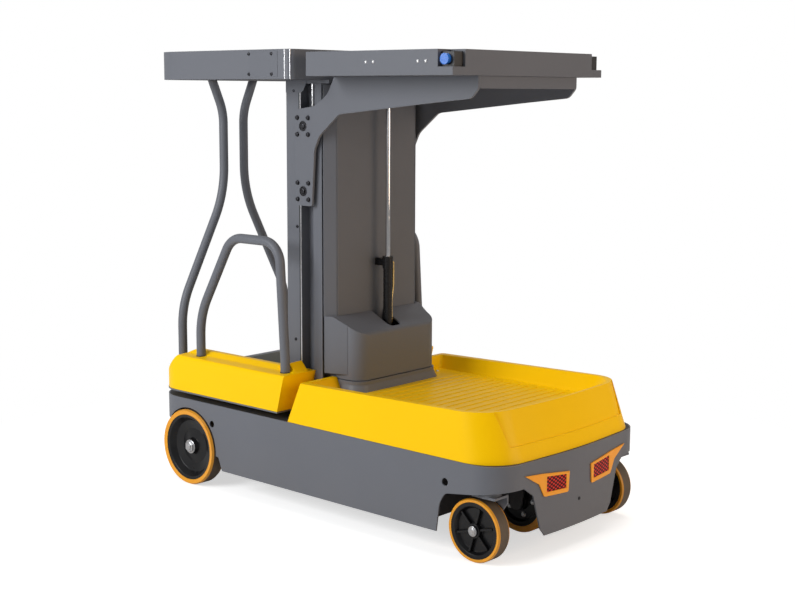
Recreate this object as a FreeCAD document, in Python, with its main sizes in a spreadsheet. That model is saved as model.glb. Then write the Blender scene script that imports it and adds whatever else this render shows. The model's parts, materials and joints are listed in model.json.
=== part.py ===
import FreeCAD, Part
import math
import os
import types

import Sketcher

# Order picker truck: a low drive chassis, a telescopic mast, an operator's platform with
# its guard ring, and a load tray that climbs the mast on its own slim cylinder.
# Millimetres. +X points forward to the load deck, +Z up, the right-hand side is -Y.
# The origin is on the floor under the middle of the whole truck.

# Driving sizes: name, value, what it is
SIZES = (
    ("chassis_width", 760, "overall width of the steel chassis"),
    ("chassis_rear", 787, "rear face behind the origin"),
    ("chassis_front", 793, "front of the steel nose ahead of the origin"),
    ("chassis_bottom", 77, "lower edge of the side walls"),
    ("apron_bottom", 66, "lower edge of the front apron"),
    ("chassis_top", 305, "upper edge of the walls"),
    ("chassis_wall", 5, "sheet thickness of the walls"),
    ("rear_corner", 120, "plan radius of the rear corners"),
    ("front_corner", 105, "plan radius of the front corners"),
    ("nose_slope", 0.074, "how far the bulged front falls back per unit of width"),
    ("nose_radius", 2000, "plan radius of the bulge's middle"),
    ("apron_foot", 168, "half width of the apron at its lower edge"),
    ("apron_waist", 187, "half width of the apron above its cut corners"),
    ("apron_head", 222, "half width of the apron where it meets the wall"),
    ("apron_head_height", 200, "height of that meeting"),
    ("tie_hole_radius", 12, "tie-down holes in the side walls"),
    ("tie_hole_height", 235, "their height"),
    ("tie_hole_rear", 478, "rear pair behind the origin"),
    ("tie_hole_front", 574, "front pair ahead of the origin"),
    ("top_plate", 6, "chassis top plate"),
    ("floor_plate", 8, "chassis floor plate"),
    ("frame_plate", 6, "bulkheads and bay walls"),
    ("rear_bulkhead", 424, "bulkhead ahead of the rear wheels, behind the origin"),
    ("front_bulkhead", 455, "bulkhead behind the drive wheel"),
    ("caster_arch_rear", 541, "rear edge of the caster arches"),
    ("caster_arch_side", 225, "height of the caster arches where the side ends"),
    ("caster_arch_nose", 232, "their height at the nose"),
    ("seat_gap", 0.3, "clearance where one piece seats beside another"),
    ("running_gap", 10, "clearance round what travels or turns"),
    ("arch_gap", 6, "clearance of the arches over the fixed wheels"),
    ("rear_wheel_back", 599, "rear wheel centres behind the origin"),
    ("rear_wheel_radius", 134, "rolling radius of the fixed wheels"),
    ("rear_rim_radius", 116, "black centre of the fixed wheels"),
    ("rear_wheel_width", 60, "width of the fixed wheels"),
    ("rear_wheel_proud", 10, "how far the fixed wheels stand out of the walls"),
    ("axle_radius", 12, "wheel axles"),
    ("axle_beam", 20, "radius of the rear axle beam"),
    ("caster_pivot", 703, "swivel axes ahead of the origin"),
    ("caster_trail", 41, "wheel centre behind the swivel axis"),
    ("caster_inset", 53.5, "swivel axes in from the side walls"),
    ("caster_radius", 97, "rolling radius of the casters"),
    ("caster_rim_radius", 86, "black centre of the casters"),
    ("caster_width", 52, "width of the casters"),
    ("caster_plate_height", 246, "underside of the caster mounting plate"),
    ("caster_plate", 8, "its thickness"),
    ("yoke_radius", 34, "caster swivel head"),
    ("fork_plate", 5, "caster fork legs"),
    ("fork_bridge", 7, "caster fork bridges"),
    ("fork_front", 40, "front edge of a caster fork from its pivot"),
    ("fork_rear", 56, "its rear edge"),
    ("fork_boss", 22, "half width of the leg round the wheel's axle"),
    ("drive_wheel_forward", 585, "drive wheel centre ahead of the origin"),
    ("drive_wheel_radius", 105, "rolling radius of the drive wheel"),
    ("drive_rim_radius", 84, "its steel centre"),
    ("drive_wheel_width", 70, "its width"),
    ("turntable_radius", 80, "steering turntable of the drive wheel"),
    ("motor_radius", 46, "drive motor beside the wheel"),
    ("motor_length", 58, "its length"),
    ("battery_height", 125, "height of the battery"),
    ("deck_inset", 2, "load deck's foot in from the side walls"),
    ("deck_front", 784, "deck foot ahead of the origin"),
    ("deck_rear", 107, "deck foot behind the origin"),
    ("deck_corner", 128, "plan radius of the deck's front corners"),
    ("deck_rise", 150, "deck height above the chassis"),
    ("deck_lean", 18, "how far the sides lean in"),
    ("deck_front_lean", 50, "how far the front leans in"),
    ("deck_rear_lean", 51, "how far the rear end leans forward"),
    ("deck_rim", 12, "width of the rim"),
    ("deck_step", 352, "top of the proud band along the deck's front"),
    ("deck_recess", 4, "how far the front stands back above it"),
    ("deck_recess_foot", 292, "half width of that recess at its foot"),
    ("deck_recess_head", 312, "half width at its top"),
    ("deck_floor", 395, "height of the load floor"),
    ("deck_wall_lean", 44, "lean of the inner walls"),
    ("deck_shell", 6, "moulded wall"),
    ("mast_rear", 249, "rear face of the mast behind the origin"),
    ("mast_front", 50, "front face of the mast behind the origin"),
    ("mast_top", 1400, "top of the mast rails"),
    ("mast_bottom", 112, "foot of the moving mast"),
    ("rail_face", 230, "outer faces of the rails from the middle"),
    ("rail_inside", 190, "inner faces of the rails from the middle"),
    ("rail_wall", 4, "wall of the rail profile"),
    ("rail_rear_leg", 69, "closed rear leg of the rail"),
    ("rail_slot", 56, "roller slot of the rail"),
    ("rail_front_leg", 39, "front flange of the rail"),
    ("panel_half_width", 194, "corner of the front panel from the middle"),
    ("panel_wall", 4, "front and back panels"),
    ("stage_gap", 9, "room for slide pads between two mast stages"),
    ("stage_wall", 5, "wall of the inner mast stages"),
    ("stage_rise", 14, "each stage starts this much above the one inside it"),
    ("pad_height", 90, "slide pads"),
    ("pad_width", 60, "slide pads"),
    ("cap_height", 13, "mast head plate"),
    ("well_rear", 262, "mast well in the chassis top, behind the origin"),
    ("well_front", 24, "its front edge ahead of the origin"),
    ("well_half_width", 243, "its half width"),
    ("cover_front", 53, "front face of the mast foot cover"),
    ("cover_half_width", 200, "its half width"),
    ("cover_foot", 432, "its lower edge"),
    ("cover_shoulder", 588, "top of its upright front face"),
    ("cover_head", 640, "where its slope meets the mast"),
    ("cover_corner", 50, "its upright corners"),
    ("cover_notch", 30, "half width of the notch for the cylinder"),
    ("skirt_front", 58, "front of the skirt on the deck"),
    ("skirt_half_width", 204, "its half width"),
    ("skirt_gap", 2, "gap between skirt and foot cover"),
    ("skirt_flange", 8, "how far the skirt's foot spreads"),
    ("skirt_flare", 24, "height of that spread"),
    ("skirt_seat", 2, "how deep the skirt sits in the load floor"),
    ("platform_top", 378, "operator's floor"),
    ("platform_sheet", 4, "folded sheet of the platform pan"),
    ("platform_rear", 792, "rear edge of the platform"),
    ("platform_mat", 6, "ribbed rubber mat"),
    ("side_cover_foot", 330, "lower edge of the yellow side covers"),
    ("side_cover_crease", 454, "where the side breaks into the top"),
    ("side_cover_crest", 471, "ridge along the inner edge of the side covers"),
    ("side_cover_rear", 772, "rear end of the side covers behind the origin"),
    ("side_cover_inset", 2, "outer face of the side covers in from the side walls"),
    ("side_cover_width", 100, "width of the side covers"),
    ("side_cover_front", 150, "front end at the foot, behind the origin"),
    ("side_cover_slant", 33, "how far the front end leans forward"),
    ("side_cover_corner", 96, "plan radius of the rear corners"),
    ("tube_radius", 16, "hoops and back tubes"),
    ("hoop_inset", 42, "hoops in from the side covers' outer faces"),
    ("hoop_seat", 430, "how deep the hoops reach into the side covers"),
    ("hoop_rear", 580, "rear foot of a hoop behind the origin"),
    ("hoop_front", 153, "front foot of a hoop behind the origin"),
    ("hoop_top", 886, "top run of the hoops"),
    ("hoop_rear_bend", 600, "height where the rear leg of a hoop bends"),
    ("hoop_rear_bend_radius", 260, "radius of that bend"),
    ("hoop_shoulder", 411, "top bend behind the origin"),
    ("hoop_shoulder_radius", 90, "its radius"),
    ("hoop_front_lean", 24, "how far the front leg leans back"),
    ("hoop_front_bend", 500, "height where the front leg bends"),
    ("hoop_front_radius", 75, "radius at the head of the front leg"),
    ("back_tube_x", 775, "back tubes behind the origin"),
    ("back_tube_foot", 258, "foot of a back tube from the middle"),
    ("back_tube_bend", 605, "height of its lower bend"),
    ("back_tube_waist", 49, "back tubes from the middle at their waist"),
    ("back_tube_waist_low", 1005, "lower end of the waist"),
    ("back_tube_waist_high", 1300, "upper end of the waist"),
    ("back_tube_head", 112, "head of a back tube from the middle"),
    ("ring_rear", 797, "rear of the guard ring"),
    ("ring_front", 73, "front of the guard ring, behind the origin"),
    ("ring_half_width", 378, "its half width"),
    ("ring_bottom", 1413, "its lower edge"),
    ("ring_top", 1507, "its upper edge"),
    ("ring_band", 44, "its thickness"),
    ("ring_rear_corner", 150, "its rear corners"),
    ("ring_front_corner", 25, "its front corners"),
    ("console_rear", 292, "operator's face of the console"),
    ("console_rise", 61, "height of the console above the ring's lower edge"),
    ("steering_radius", 78, "small steering wheel"),
    ("steering_back", 205, "its axis behind the origin"),
    ("steering_inset", 188, "its axis in from the ring's left side"),
    ("arm_face", 249, "outer faces of the tray arms from the middle"),
    ("arm_plate", 9, "thickness of the tray arms"),
    ("arm_rear", 186, "rear edge of the tray arms behind the origin"),
    ("arm_front", 112, "front edge of their uprights, behind the origin"),
    ("arm_foot", 1003, "foot of the tray arms"),
    ("arm_throat_x", 11, "inner bend of the arms ahead of the origin"),
    ("arm_throat", 1303, "its height"),
    ("arm_belly_x", 390, "shallow bend along the lower edge"),
    ("arm_belly", 1341, "its height"),
    ("arm_nose_x", 551, "lower front corner"),
    ("arm_nose", 1356, "its height"),
    ("arm_shoulder", 1316, "top of the uprights' rear"),
    ("roller_radius", 27, "guide rollers in the rail slots"),
    ("roller_x", 152, "roller axes behind the origin"),
    ("roller_low", 1051, "lower rollers"),
    ("roller_high", 1263, "upper rollers"),
    ("tray_rear", 7, "rear face of the tray, behind the origin"),
    ("tray_front", 585, "front face of the tray"),
    ("tray_half_width", 375, "its half width"),
    ("tray_bottom", 1422, "its underside"),
    ("tray_top", 1496, "its rim"),
    ("tray_wall", 3, "its folded sheet"),
    ("tray_notch", 56, "corner notches for the stop buttons"),
    ("button_depth", 16, "button housings in from the tray's sides"),
    ("button_sill", 7, "button housings below the tray's rim"),
    ("button_forward", 22, "stop buttons ahead of the notch's rear"),
    ("button_radius", 16, "stop buttons"),
    ("crossbar_x", 577, "cross plate between the arm ends"),
    ("crossbar_bottom", 1385, "its lower edge"),
    ("crossbar_plate", 8, "its thickness"),
    ("crossbar_ledge", 50, "depth of its upper ledge"),
    ("ledge_plate", 6, "thickness of the ledge and the saddle"),
    ("saddle_reach", 26, "half depth of the rod's saddle"),
    ("tray_corner", 24, "height of the tray's closed corners under the buttons"),
    ("cylinder_x", 2, "tray cylinder behind the origin"),
    ("barrel_radius", 15, "tray cylinder barrel"),
    ("barrel_bottom", 206, "foot of the barrel"),
    ("gland_radius", 18, "its gland"),
    ("gland_bottom", 787, "lower end of the gland"),
    ("gland_top", 827, "upper end of the gland"),
    ("rod_radius", 8, "chromed rod"),
    ("rod_top", 1344, "head of the rod under its bracket"),
    ("rod_foot", 745, "piston end of the rod inside the barrel"),
    ("pipe_radius", 3.5, "brass oil pipe beside the barrel"),
    ("lamp_frame", 4, "how far the lamp frames stand out of the nose"),
    ("lamp_inner", 57, "inner edge of a lamp frame from the middle"),
    ("lamp_outer", 176, "outer edge of its body"),
    ("lamp_tip", 263, "tip of its horn"),
    ("lamp_foot", 181, "its lower edge"),
    ("lamp_crown", 259, "its upper edge"),
    ("lamp_border", 16, "width of the frame on its inner side"),
    ("lamp_rim", 10, "width of the frame elsewhere"),
)

document = FreeCAD.newDocument("order_picker_truck")
sheet = document.addObject("Spreadsheet::Sheet", "Sizes")
for row, (name, number, meaning) in enumerate(SIZES, start=1):
    sheet.set(f"A{row}", name)
    sheet.set(f"B{row}", str(number))
    sheet.set(f"C{row}", meaning)
    sheet.setAlias(f"B{row}", name)
document.recompute()


class Measure:
    """A size that carries its number and the formula over the spreadsheet that gives it."""

    def __init__(self, number, formula):
        self.number = float(number)
        self.formula = formula

    def __add__(self, other):
        other = measure(other)
        return Measure(self.number + other.number, f"({self.formula} + {other.formula})")

    def __sub__(self, other):
        other = measure(other)
        return Measure(self.number - other.number, f"({self.formula} - {other.formula})")

    def __mul__(self, other):
        other = measure(other)
        return Measure(self.number * other.number, f"({self.formula} * {other.formula})")

    def __truediv__(self, other):
        other = measure(other)
        return Measure(self.number / other.number, f"({self.formula} / {other.formula})")

    def __radd__(self, other):
        return measure(other) + self

    def __rsub__(self, other):
        return measure(other) - self

    def __rmul__(self, other):
        return measure(other) * self

    def __neg__(self):
        return Measure(-self.number, f"(-1 * {self.formula})")


def measure(something):
    """Numbers and measures both become measures."""
    if isinstance(something, Measure):
        return something
    return Measure(something, repr(float(something)))


def root(something):
    """Square root of a measure."""
    return Measure(math.sqrt(something.number), f"sqrt({something.formula})")


size = types.SimpleNamespace(
    **{name: Measure(sheet.get(name), f"Sizes.{name}") for name, number, meaning in SIZES}
)

# Directions and the planes that sketches lie on
ACROSS = FreeCAD.Vector(0, 1, 0)
FORWARD = FreeCAD.Vector(1, 0, 0)
UP = FreeCAD.Vector(0, 0, 1)
FLAT = FreeCAD.Rotation()
UPRIGHT = FreeCAD.Rotation(FreeCAD.Vector(1, 0, 0), 90)
FACING = FreeCAD.Rotation(FreeCAD.Vector(1, 1, 1), 120)
PLANES = {"XY": (FLAT, "z", "XY_Plane"), "XZ": (UPRIGHT, "y", "XZ_Plane"), "YZ": (FACING, "x", "YZ_Plane")}

nodes = {}


def bind(thing, name, value):
    """Set a property to a measure, bound to the spreadsheet."""
    thing.setExpression(name, measure(value).formula)


def place(thing, x=0, y=0, z=0, rotation=FLAT):
    """Give an object a bound place."""
    thing.Placement = FreeCAD.Placement(FreeCAD.Vector(), rotation)
    bind(thing, "Placement.Base.x", x)
    bind(thing, "Placement.Base.y", y)
    bind(thing, "Placement.Base.z", z)
    return thing


def sketch(plane, offset=0, body=None):
    """A sketch on a world plane moved by offset, loose or inside a body."""
    rotation, axis, role = PLANES[plane]
    if body is None:
        drawn = document.addObject("Sketcher::SketchObject", "Sketch")
        drawn.Placement = FreeCAD.Placement(FreeCAD.Vector(), rotation)
        bind(drawn, f"Placement.Base.{axis}", offset)
        return drawn
    drawn = body.newObject("Sketcher::SketchObject", "Sketch")
    support = [feature for feature in body.Origin.OriginFeatures if feature.Role == role]
    drawn.AttachmentSupport = [(support[0], "")]
    drawn.MapMode = "FlatFace"
    along_normal = -measure(offset) if plane == "XZ" else measure(offset)
    bind(drawn, "AttachmentOffset.Base.z", along_normal)
    return drawn


def pin_point(drawn, geometry, end, across, up):
    """Hold one sketch point at bound distances from the sketch's origin."""
    for kind, value in (("DistanceX", across), ("DistanceY", up)):
        value = measure(value)
        index = drawn.addConstraint(Sketcher.Constraint(kind, -1, 1, geometry, end, value.number))
        drawn.setExpression(f"Constraints[{index}]", value.formula)


def outline(drawn, corners, closed=True):
    """Straight runs through corners (across, up, radius), rounded where a radius is given."""
    points = [FreeCAD.Vector(measure(c[0]).number, measure(c[1]).number, 0) for c in corners]
    radii = [c[2] if len(c) > 2 else None for c in corners]
    count = len(points)
    before_after = []
    for i, point in enumerate(points):
        if radii[i] is None:
            before_after.append((point, point, None))
            continue
        back = (points[i - 1] - point).normalize()
        ahead = (points[(i + 1) % count] - point).normalize()
        half = back.getAngle(ahead) / 2
        radius = measure(radii[i]).number
        reach = radius / math.tan(half)
        middle = point + (back + ahead).normalize() * (radius / math.sin(half))
        before_after.append((point + back * reach, point + ahead * reach, middle))
    runs = []
    for i in range(count if closed else count - 1):
        start = before_after[i][1]
        end = before_after[(i + 1) % count][0]
        runs.append(drawn.addGeometry(Part.LineSegment(start, end), False))
    for i in range(count):
        into = runs[i - 1] if (closed or i > 0) else None
        out = runs[i] if (closed or i < count - 1) else None
        if into is None or out is None:
            end = (out, 1) if into is None else (into, 2)
            pin_point(drawn, end[0], end[1], corners[i][0], corners[i][1])
            continue
        if radii[i] is None:
            drawn.addConstraint(Sketcher.Constraint("Coincident", into, 2, out, 1))
            pin_point(drawn, out, 1, corners[i][0], corners[i][1])
            continue
        first, last, middle = before_after[i]
        left_turn = (points[i] - points[i - 1]).cross(points[(i + 1) % count] - points[i]).z > 0
        start, end = (first, last) if left_turn else (last, first)
        angles = [math.atan2(p.y - middle.y, p.x - middle.x) for p in (start, end)]
        circle = Part.Circle(middle, UP, measure(radii[i]).number)
        arc = drawn.addGeometry(Part.ArcOfCircle(circle, angles[0], angles[1]), False)
        ends = (1, 2) if left_turn else (2, 1)
        drawn.addConstraint(Sketcher.Constraint("Tangent", into, 2, arc, ends[0]))
        drawn.addConstraint(Sketcher.Constraint("Tangent", arc, ends[1], out, 1))
        index = drawn.addConstraint(Sketcher.Constraint("Radius", arc, measure(radii[i]).number))
        drawn.setExpression(f"Constraints[{index}]", measure(radii[i]).formula)
        corner = drawn.addGeometry(Part.Point(points[i]), True)
        drawn.addConstraint(Sketcher.Constraint("PointOnObject", corner, 1, into))
        drawn.addConstraint(Sketcher.Constraint("PointOnObject", corner, 1, out))
        pin_point(drawn, corner, 1, corners[i][0], corners[i][1])
    return drawn


def extrude(drawn, direction, length, symmetric=False):
    """Push a sketch out into a solid, to both sides if symmetric."""
    solid = document.addObject("Part::Extrusion", "Extrusion")
    solid.Base = drawn
    solid.DirMode = "Custom"
    solid.Dir = direction
    solid.Solid = True
    solid.Symmetric = symmetric
    bind(solid, "LengthFwd", length)
    return solid


def prism(plane, offset, corners, length):
    """An outline pushed out: up from a flat one, to both sides of an upright one."""
    drawn = outline(sketch(plane, offset), corners)
    direction = {"XY": UP, "XZ": ACROSS, "YZ": FORWARD}[plane]
    return extrude(drawn, direction, length, symmetric=(plane != "XY"))


def box(x, y, z):
    """A box between two bound limits along each axis."""
    solid = document.addObject("Part::Box", "Box")
    for name, (low, high) in (("Length", x), ("Width", y), ("Height", z)):
        bind(solid, name, measure(high) - low)
    return place(solid, x[0], y[0], z[0])


def rod(axis, centre, radius, low, high):
    """A cylinder along an axis; centre holds the other two coordinates in X, Y, Z order."""
    solid = document.addObject("Part::Cylinder", "Cylinder")
    bind(solid, "Radius", radius)
    bind(solid, "Height", measure(high) - low)
    if axis == "Z":
        return place(solid, centre[0], centre[1], low)
    if axis == "Y":
        return place(solid, centre[0], low, centre[1], FreeCAD.Rotation(FreeCAD.Vector(1, 0, 0), -90))
    return place(solid, low, centre[0], centre[1], FreeCAD.Rotation(FreeCAD.Vector(0, 1, 0), 90))


def cut(base, *tools):
    """Take tools away from a base."""
    for tool in tools:
        made = document.addObject("Part::Cut", "Cut")
        made.Base = base
        made.Tool = tool
        base = made
    return base


def fuse(*parts):
    """Join parts into one."""
    if len(parts) == 1:
        return parts[0]
    made = document.addObject("Part::MultiFuse", "Fusion")
    made.Shapes = list(parts)
    made.Refine = True
    return made


def common(first, second):
    """What two solids share."""
    made = document.addObject("Part::MultiCommon", "Common")
    made.Shapes = [first, second]
    return made


def mirrored(source):
    """The same piece on the left-hand side."""
    made = document.addObject("Part::Mirroring", "Mirror")
    made.Source = source
    made.Base = FreeCAD.Vector()
    made.Normal = ACROSS
    return made


def turned(profile, base, direction):
    """A profile turned about an axis; base is a bound point on it."""
    made = document.addObject("Part::Revolution", "Revolution")
    made.Source = profile
    made.Axis = direction
    made.Solid = True
    made.Angle = 360
    for name, value in zip(("x", "y", "z"), base):
        bind(made, f"Base.{name}", value)
    return made


def wheel(centre_x, centre_z, corners):
    """A profile of (radius, y) corners turned about a wheel's axle."""
    drawn = outline(sketch("XY", centre_z), [(centre_x + c[0],) + tuple(c[1:]) for c in corners])
    return turned(drawn, (centre_x, 0, centre_z), ACROSS)


def lofted(first, second):
    """A solid with straight sides between two flat outlines."""
    made = document.addObject("Part::Loft", "Loft")
    made.Sections = [first, second]
    made.Solid = True
    made.Ruled = True
    return made


def swept(path_plane, offset, corners, radius):
    """A round bar bent along an open outline."""
    path = outline(sketch(path_plane, offset), corners, closed=False)
    document.recompute()
    start = path.Shape.Wires[0].Edges[0]
    section = document.addObject("Part::Circle", "Section")
    bind(section, "Radius", radius)
    first = start.valueAt(start.FirstParameter)
    heading = start.tangentAt(start.FirstParameter)
    section.Placement = FreeCAD.Placement(first, FreeCAD.Rotation(UP, heading))
    made = document.addObject("Part::Sweep", "Sweep")
    made.Sections = [section]
    made.Spine = (path, [])
    made.Solid = True
    made.Frenet = False
    return made


def node(label, thing):
    """Name a finished piece."""
    thing.Label = label
    nodes[label] = thing
    return thing


def pair(label, right):
    """Name a right-hand piece and its mirror image."""
    node(f"{label}_right", right)
    node(f"{label}_left", mirrored(right))


# Shared places worked out from the driving sizes
half_width = size.chassis_width / 2
rear_wheel_face = half_width + size.rear_wheel_proud
caster_track = half_width - size.caster_inset
side_cover_face = half_width - size.side_cover_inset
side_cover_inside = side_cover_face - size.side_cover_width
hoop_track = side_cover_face - size.hoop_inset
stretch = root(1 + size.nose_slope * size.nose_slope)
top_plate_foot = size.chassis_top - size.top_plate
console_top = size.ring_bottom + size.console_rise
steering_side = size.ring_half_width - size.steering_inset
floor_top = size.chassis_bottom + size.floor_plate


def truck_outline(rear, front, half, rear_round, front_round, nose_round):
    """The chassis plan: round rear corners, round front corners and a bulged nose."""
    nose = front + nose_round * (stretch - 1)
    shoulder = nose - half * size.nose_slope
    return [
        (-rear, -half, rear_round),
        (shoulder, -half, front_round),
        (nose, 0, nose_round),
        (shoulder, half, front_round),
        (-rear, half, rear_round),
    ]


def chassis_plan(inset):
    """The chassis outline, moved in by inset."""
    return truck_outline(
        size.chassis_rear - inset, size.chassis_front - inset, half_width - inset,
        size.rear_corner - inset, size.front_corner - inset, size.nose_radius - inset,
    )


# Chassis shell: a ring of folded sheet with arches for the wheels
def chassis_shell():
    height = size.chassis_top - size.apron_bottom
    outer = prism("XY", size.apron_bottom, chassis_plan(0), height)
    inner = prism("XY", size.apron_bottom - 1, chassis_plan(size.chassis_wall), height + 2)
    beyond = half_width + 20
    reach = size.chassis_rear + 20
    arch_radius = size.rear_wheel_radius + size.arch_gap
    bay_inside = rear_wheel_face - size.rear_wheel_width - size.running_gap
    under = size.apron_bottom - 10
    rear_low = [
        (-reach, under), (-reach, size.rear_wheel_radius + 85),
        (-size.rear_wheel_back - 114, size.rear_wheel_radius + 85),
        (-size.rear_wheel_back, size.rear_wheel_radius + 16),
        (-size.rear_wheel_back + 153, size.rear_wheel_radius - 12),
        (-size.rear_bulkhead - 4, size.chassis_bottom), (-size.rear_bulkhead - 4, under),
    ]
    nose_reach = size.chassis_front + 20
    caster_side = [
        (size.caster_arch_rear, under), (size.caster_arch_rear, size.chassis_bottom + 2),
        (size.caster_arch_rear + 12, size.chassis_bottom + 90, 60),
        (size.caster_arch_rear + 32, size.chassis_bottom + 123, 25),
        (size.caster_pivot + 37, size.caster_arch_side), (nose_reach, size.caster_arch_nose),
        (nose_reach, under),
    ]
    caster_face = [
        (-size.apron_foot, under), (-size.apron_foot, size.apron_bottom + 2),
        (-size.apron_waist, size.apron_bottom + 24), (-size.apron_head, size.apron_head_height, 30),
        (-size.apron_head - 90, size.chassis_top - 43), (-beyond, size.chassis_top - 43), (-beyond, under),
    ]
    tools = []
    span = beyond - bay_inside
    lane = (bay_inside + beyond) / 2
    caster_span = beyond - size.apron_foot + 30
    for side in (-1, 1):
        tools.append(prism("XZ", lane * side, rear_low, span))
        low, high = (-beyond, -bay_inside) if side < 0 else (bay_inside, beyond)
        tools.append(rod("Y", (-size.rear_wheel_back, size.rear_wheel_radius), arch_radius, low, high))
        beside = prism("XZ", (beyond - caster_span / 2) * side, caster_side, caster_span)
        face = [(c[0] * (-side), c[1]) for c in caster_face]
        ahead = prism("YZ", size.caster_arch_rear + 150, face, 340)
        tools.append(common(beside, ahead))
    tools.append(box((-reach, size.caster_arch_rear + 100), (-beyond, beyond), (under, size.chassis_bottom)))
    for x in (-size.tie_hole_rear, size.tie_hole_front):
        tools.append(rod("Y", (x, size.tie_hole_height), size.tie_hole_radius, -beyond, beyond))
    node("chassis_shell", cut(cut(outer, inner), fuse(*tools)))


# Chassis frame: top and floor plates, bulkheads, wheel bay walls and the caster plates
def chassis_frame():
    inset = size.chassis_wall + size.seat_gap
    top = prism("XY", top_plate_foot, chassis_plan(inset), size.top_plate)
    inside = half_width - inset
    well = box(
        (-size.well_rear, size.well_front), (-size.well_half_width, size.well_half_width),
        (top_plate_foot - 1, size.chassis_top + 1),
    )
    walls = [
        box((-size.rear_bulkhead, size.front_bulkhead), (-inside, inside), (size.chassis_bottom, floor_top)),
        box((-size.rear_bulkhead, -size.rear_bulkhead + size.frame_plate), (-inside, inside),
            (size.chassis_bottom, top_plate_foot)),
        box((size.front_bulkhead - size.frame_plate, size.front_bulkhead), (-inside, inside),
            (size.chassis_bottom, top_plate_foot)),
    ]
    rail_outside = rear_wheel_face - size.rear_wheel_width - size.running_gap
    rail_inside = rail_outside - size.frame_plate
    axle_z = size.rear_wheel_radius
    tray_z = axle_z + size.axle_beam + size.seat_gap
    for low, high in ((-rail_outside, -rail_inside), (rail_inside, rail_outside)):
        walls.append(box((-size.chassis_rear + 40, -size.rear_bulkhead), (low, high),
                         (size.chassis_bottom + 20, top_plate_foot)))
    walls.append(box((-size.chassis_rear + 40, -size.rear_bulkhead), (-rail_inside, rail_inside),
                     (tray_z, tray_z + size.frame_plate)))
    plate_low = size.caster_plate_height
    plate_high = plate_low + size.caster_plate
    caster_inside = caster_track - size.yoke_radius - 90
    nose = size.chassis_front + 10
    walls.append(common(prism("XY", plate_low, chassis_plan(inset), size.caster_plate),
                        box((size.front_bulkhead, nose), (-inside, inside), (plate_low - 1, plate_high + 1))))
    wall_front = size.chassis_front - size.front_corner
    for low, high in ((-caster_inside, -caster_inside + size.frame_plate),
                      (caster_inside - size.frame_plate, caster_inside)):
        walls.append(box((size.front_bulkhead, wall_front), (low, high), (plate_low, top_plate_foot)))
    axle_hole = rod("Y", (-size.rear_wheel_back, axle_z), size.axle_beam + size.seat_gap, -rail_outside - 1,
                    rail_outside + 1)
    node("chassis_frame", cut(fuse(top, *walls), well, axle_hole))


# Battery: one plain block on its tray over the rear axle
def battery_block():
    bottom = size.rear_wheel_radius + size.axle_beam + size.seat_gap * 2 + size.frame_plate
    side = rear_wheel_face - size.rear_wheel_width - size.running_gap - size.frame_plate - 8
    node("battery_block", box((-size.chassis_rear + 60, -size.rear_bulkhead - 20), (-side, side),
                              (bottom, bottom + size.battery_height)))


# Fixed rear wheels on one axle beam
def rear_axle():
    centre = (-size.rear_wheel_back, size.rear_wheel_radius)
    beam = rear_wheel_face - size.rear_wheel_width - size.running_gap / 2
    stub = rear_wheel_face - 6
    node("rear_axle", fuse(rod("Y", centre, size.axle_beam, -beam, beam),
                           rod("Y", centre, size.axle_radius, -stub, stub)))


def rear_wheels():
    outer = -rear_wheel_face
    inner = outer + size.rear_wheel_width
    edge = 8
    x = -size.rear_wheel_back
    z = size.rear_wheel_radius
    tyre = wheel(x, z, [
        (size.rear_rim_radius, outer + 3), (size.rear_rim_radius, inner - 3),
        (size.rear_wheel_radius - 4, inner), (size.rear_wheel_radius, inner - edge),
        (size.rear_wheel_radius, outer + edge), (size.rear_wheel_radius - 4, outer),
    ])
    bore = size.axle_radius + 0.05
    rim = size.rear_rim_radius - 0.05
    hub = wheel(x, z, [
        (bore, outer + 14), (24, outer + 14), (30, outer + 28), (62, outer + 34), (92, outer + 26),
        (106, outer + 6), (rim, outer + 4), (rim, inner - 4), (104, inner - 5), (88, inner - 14),
        (36, inner - 12), (30, inner), (bore, inner),
    ])
    pair("rear_tyre", tyre)
    pair("rear_hub", hub)


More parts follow.
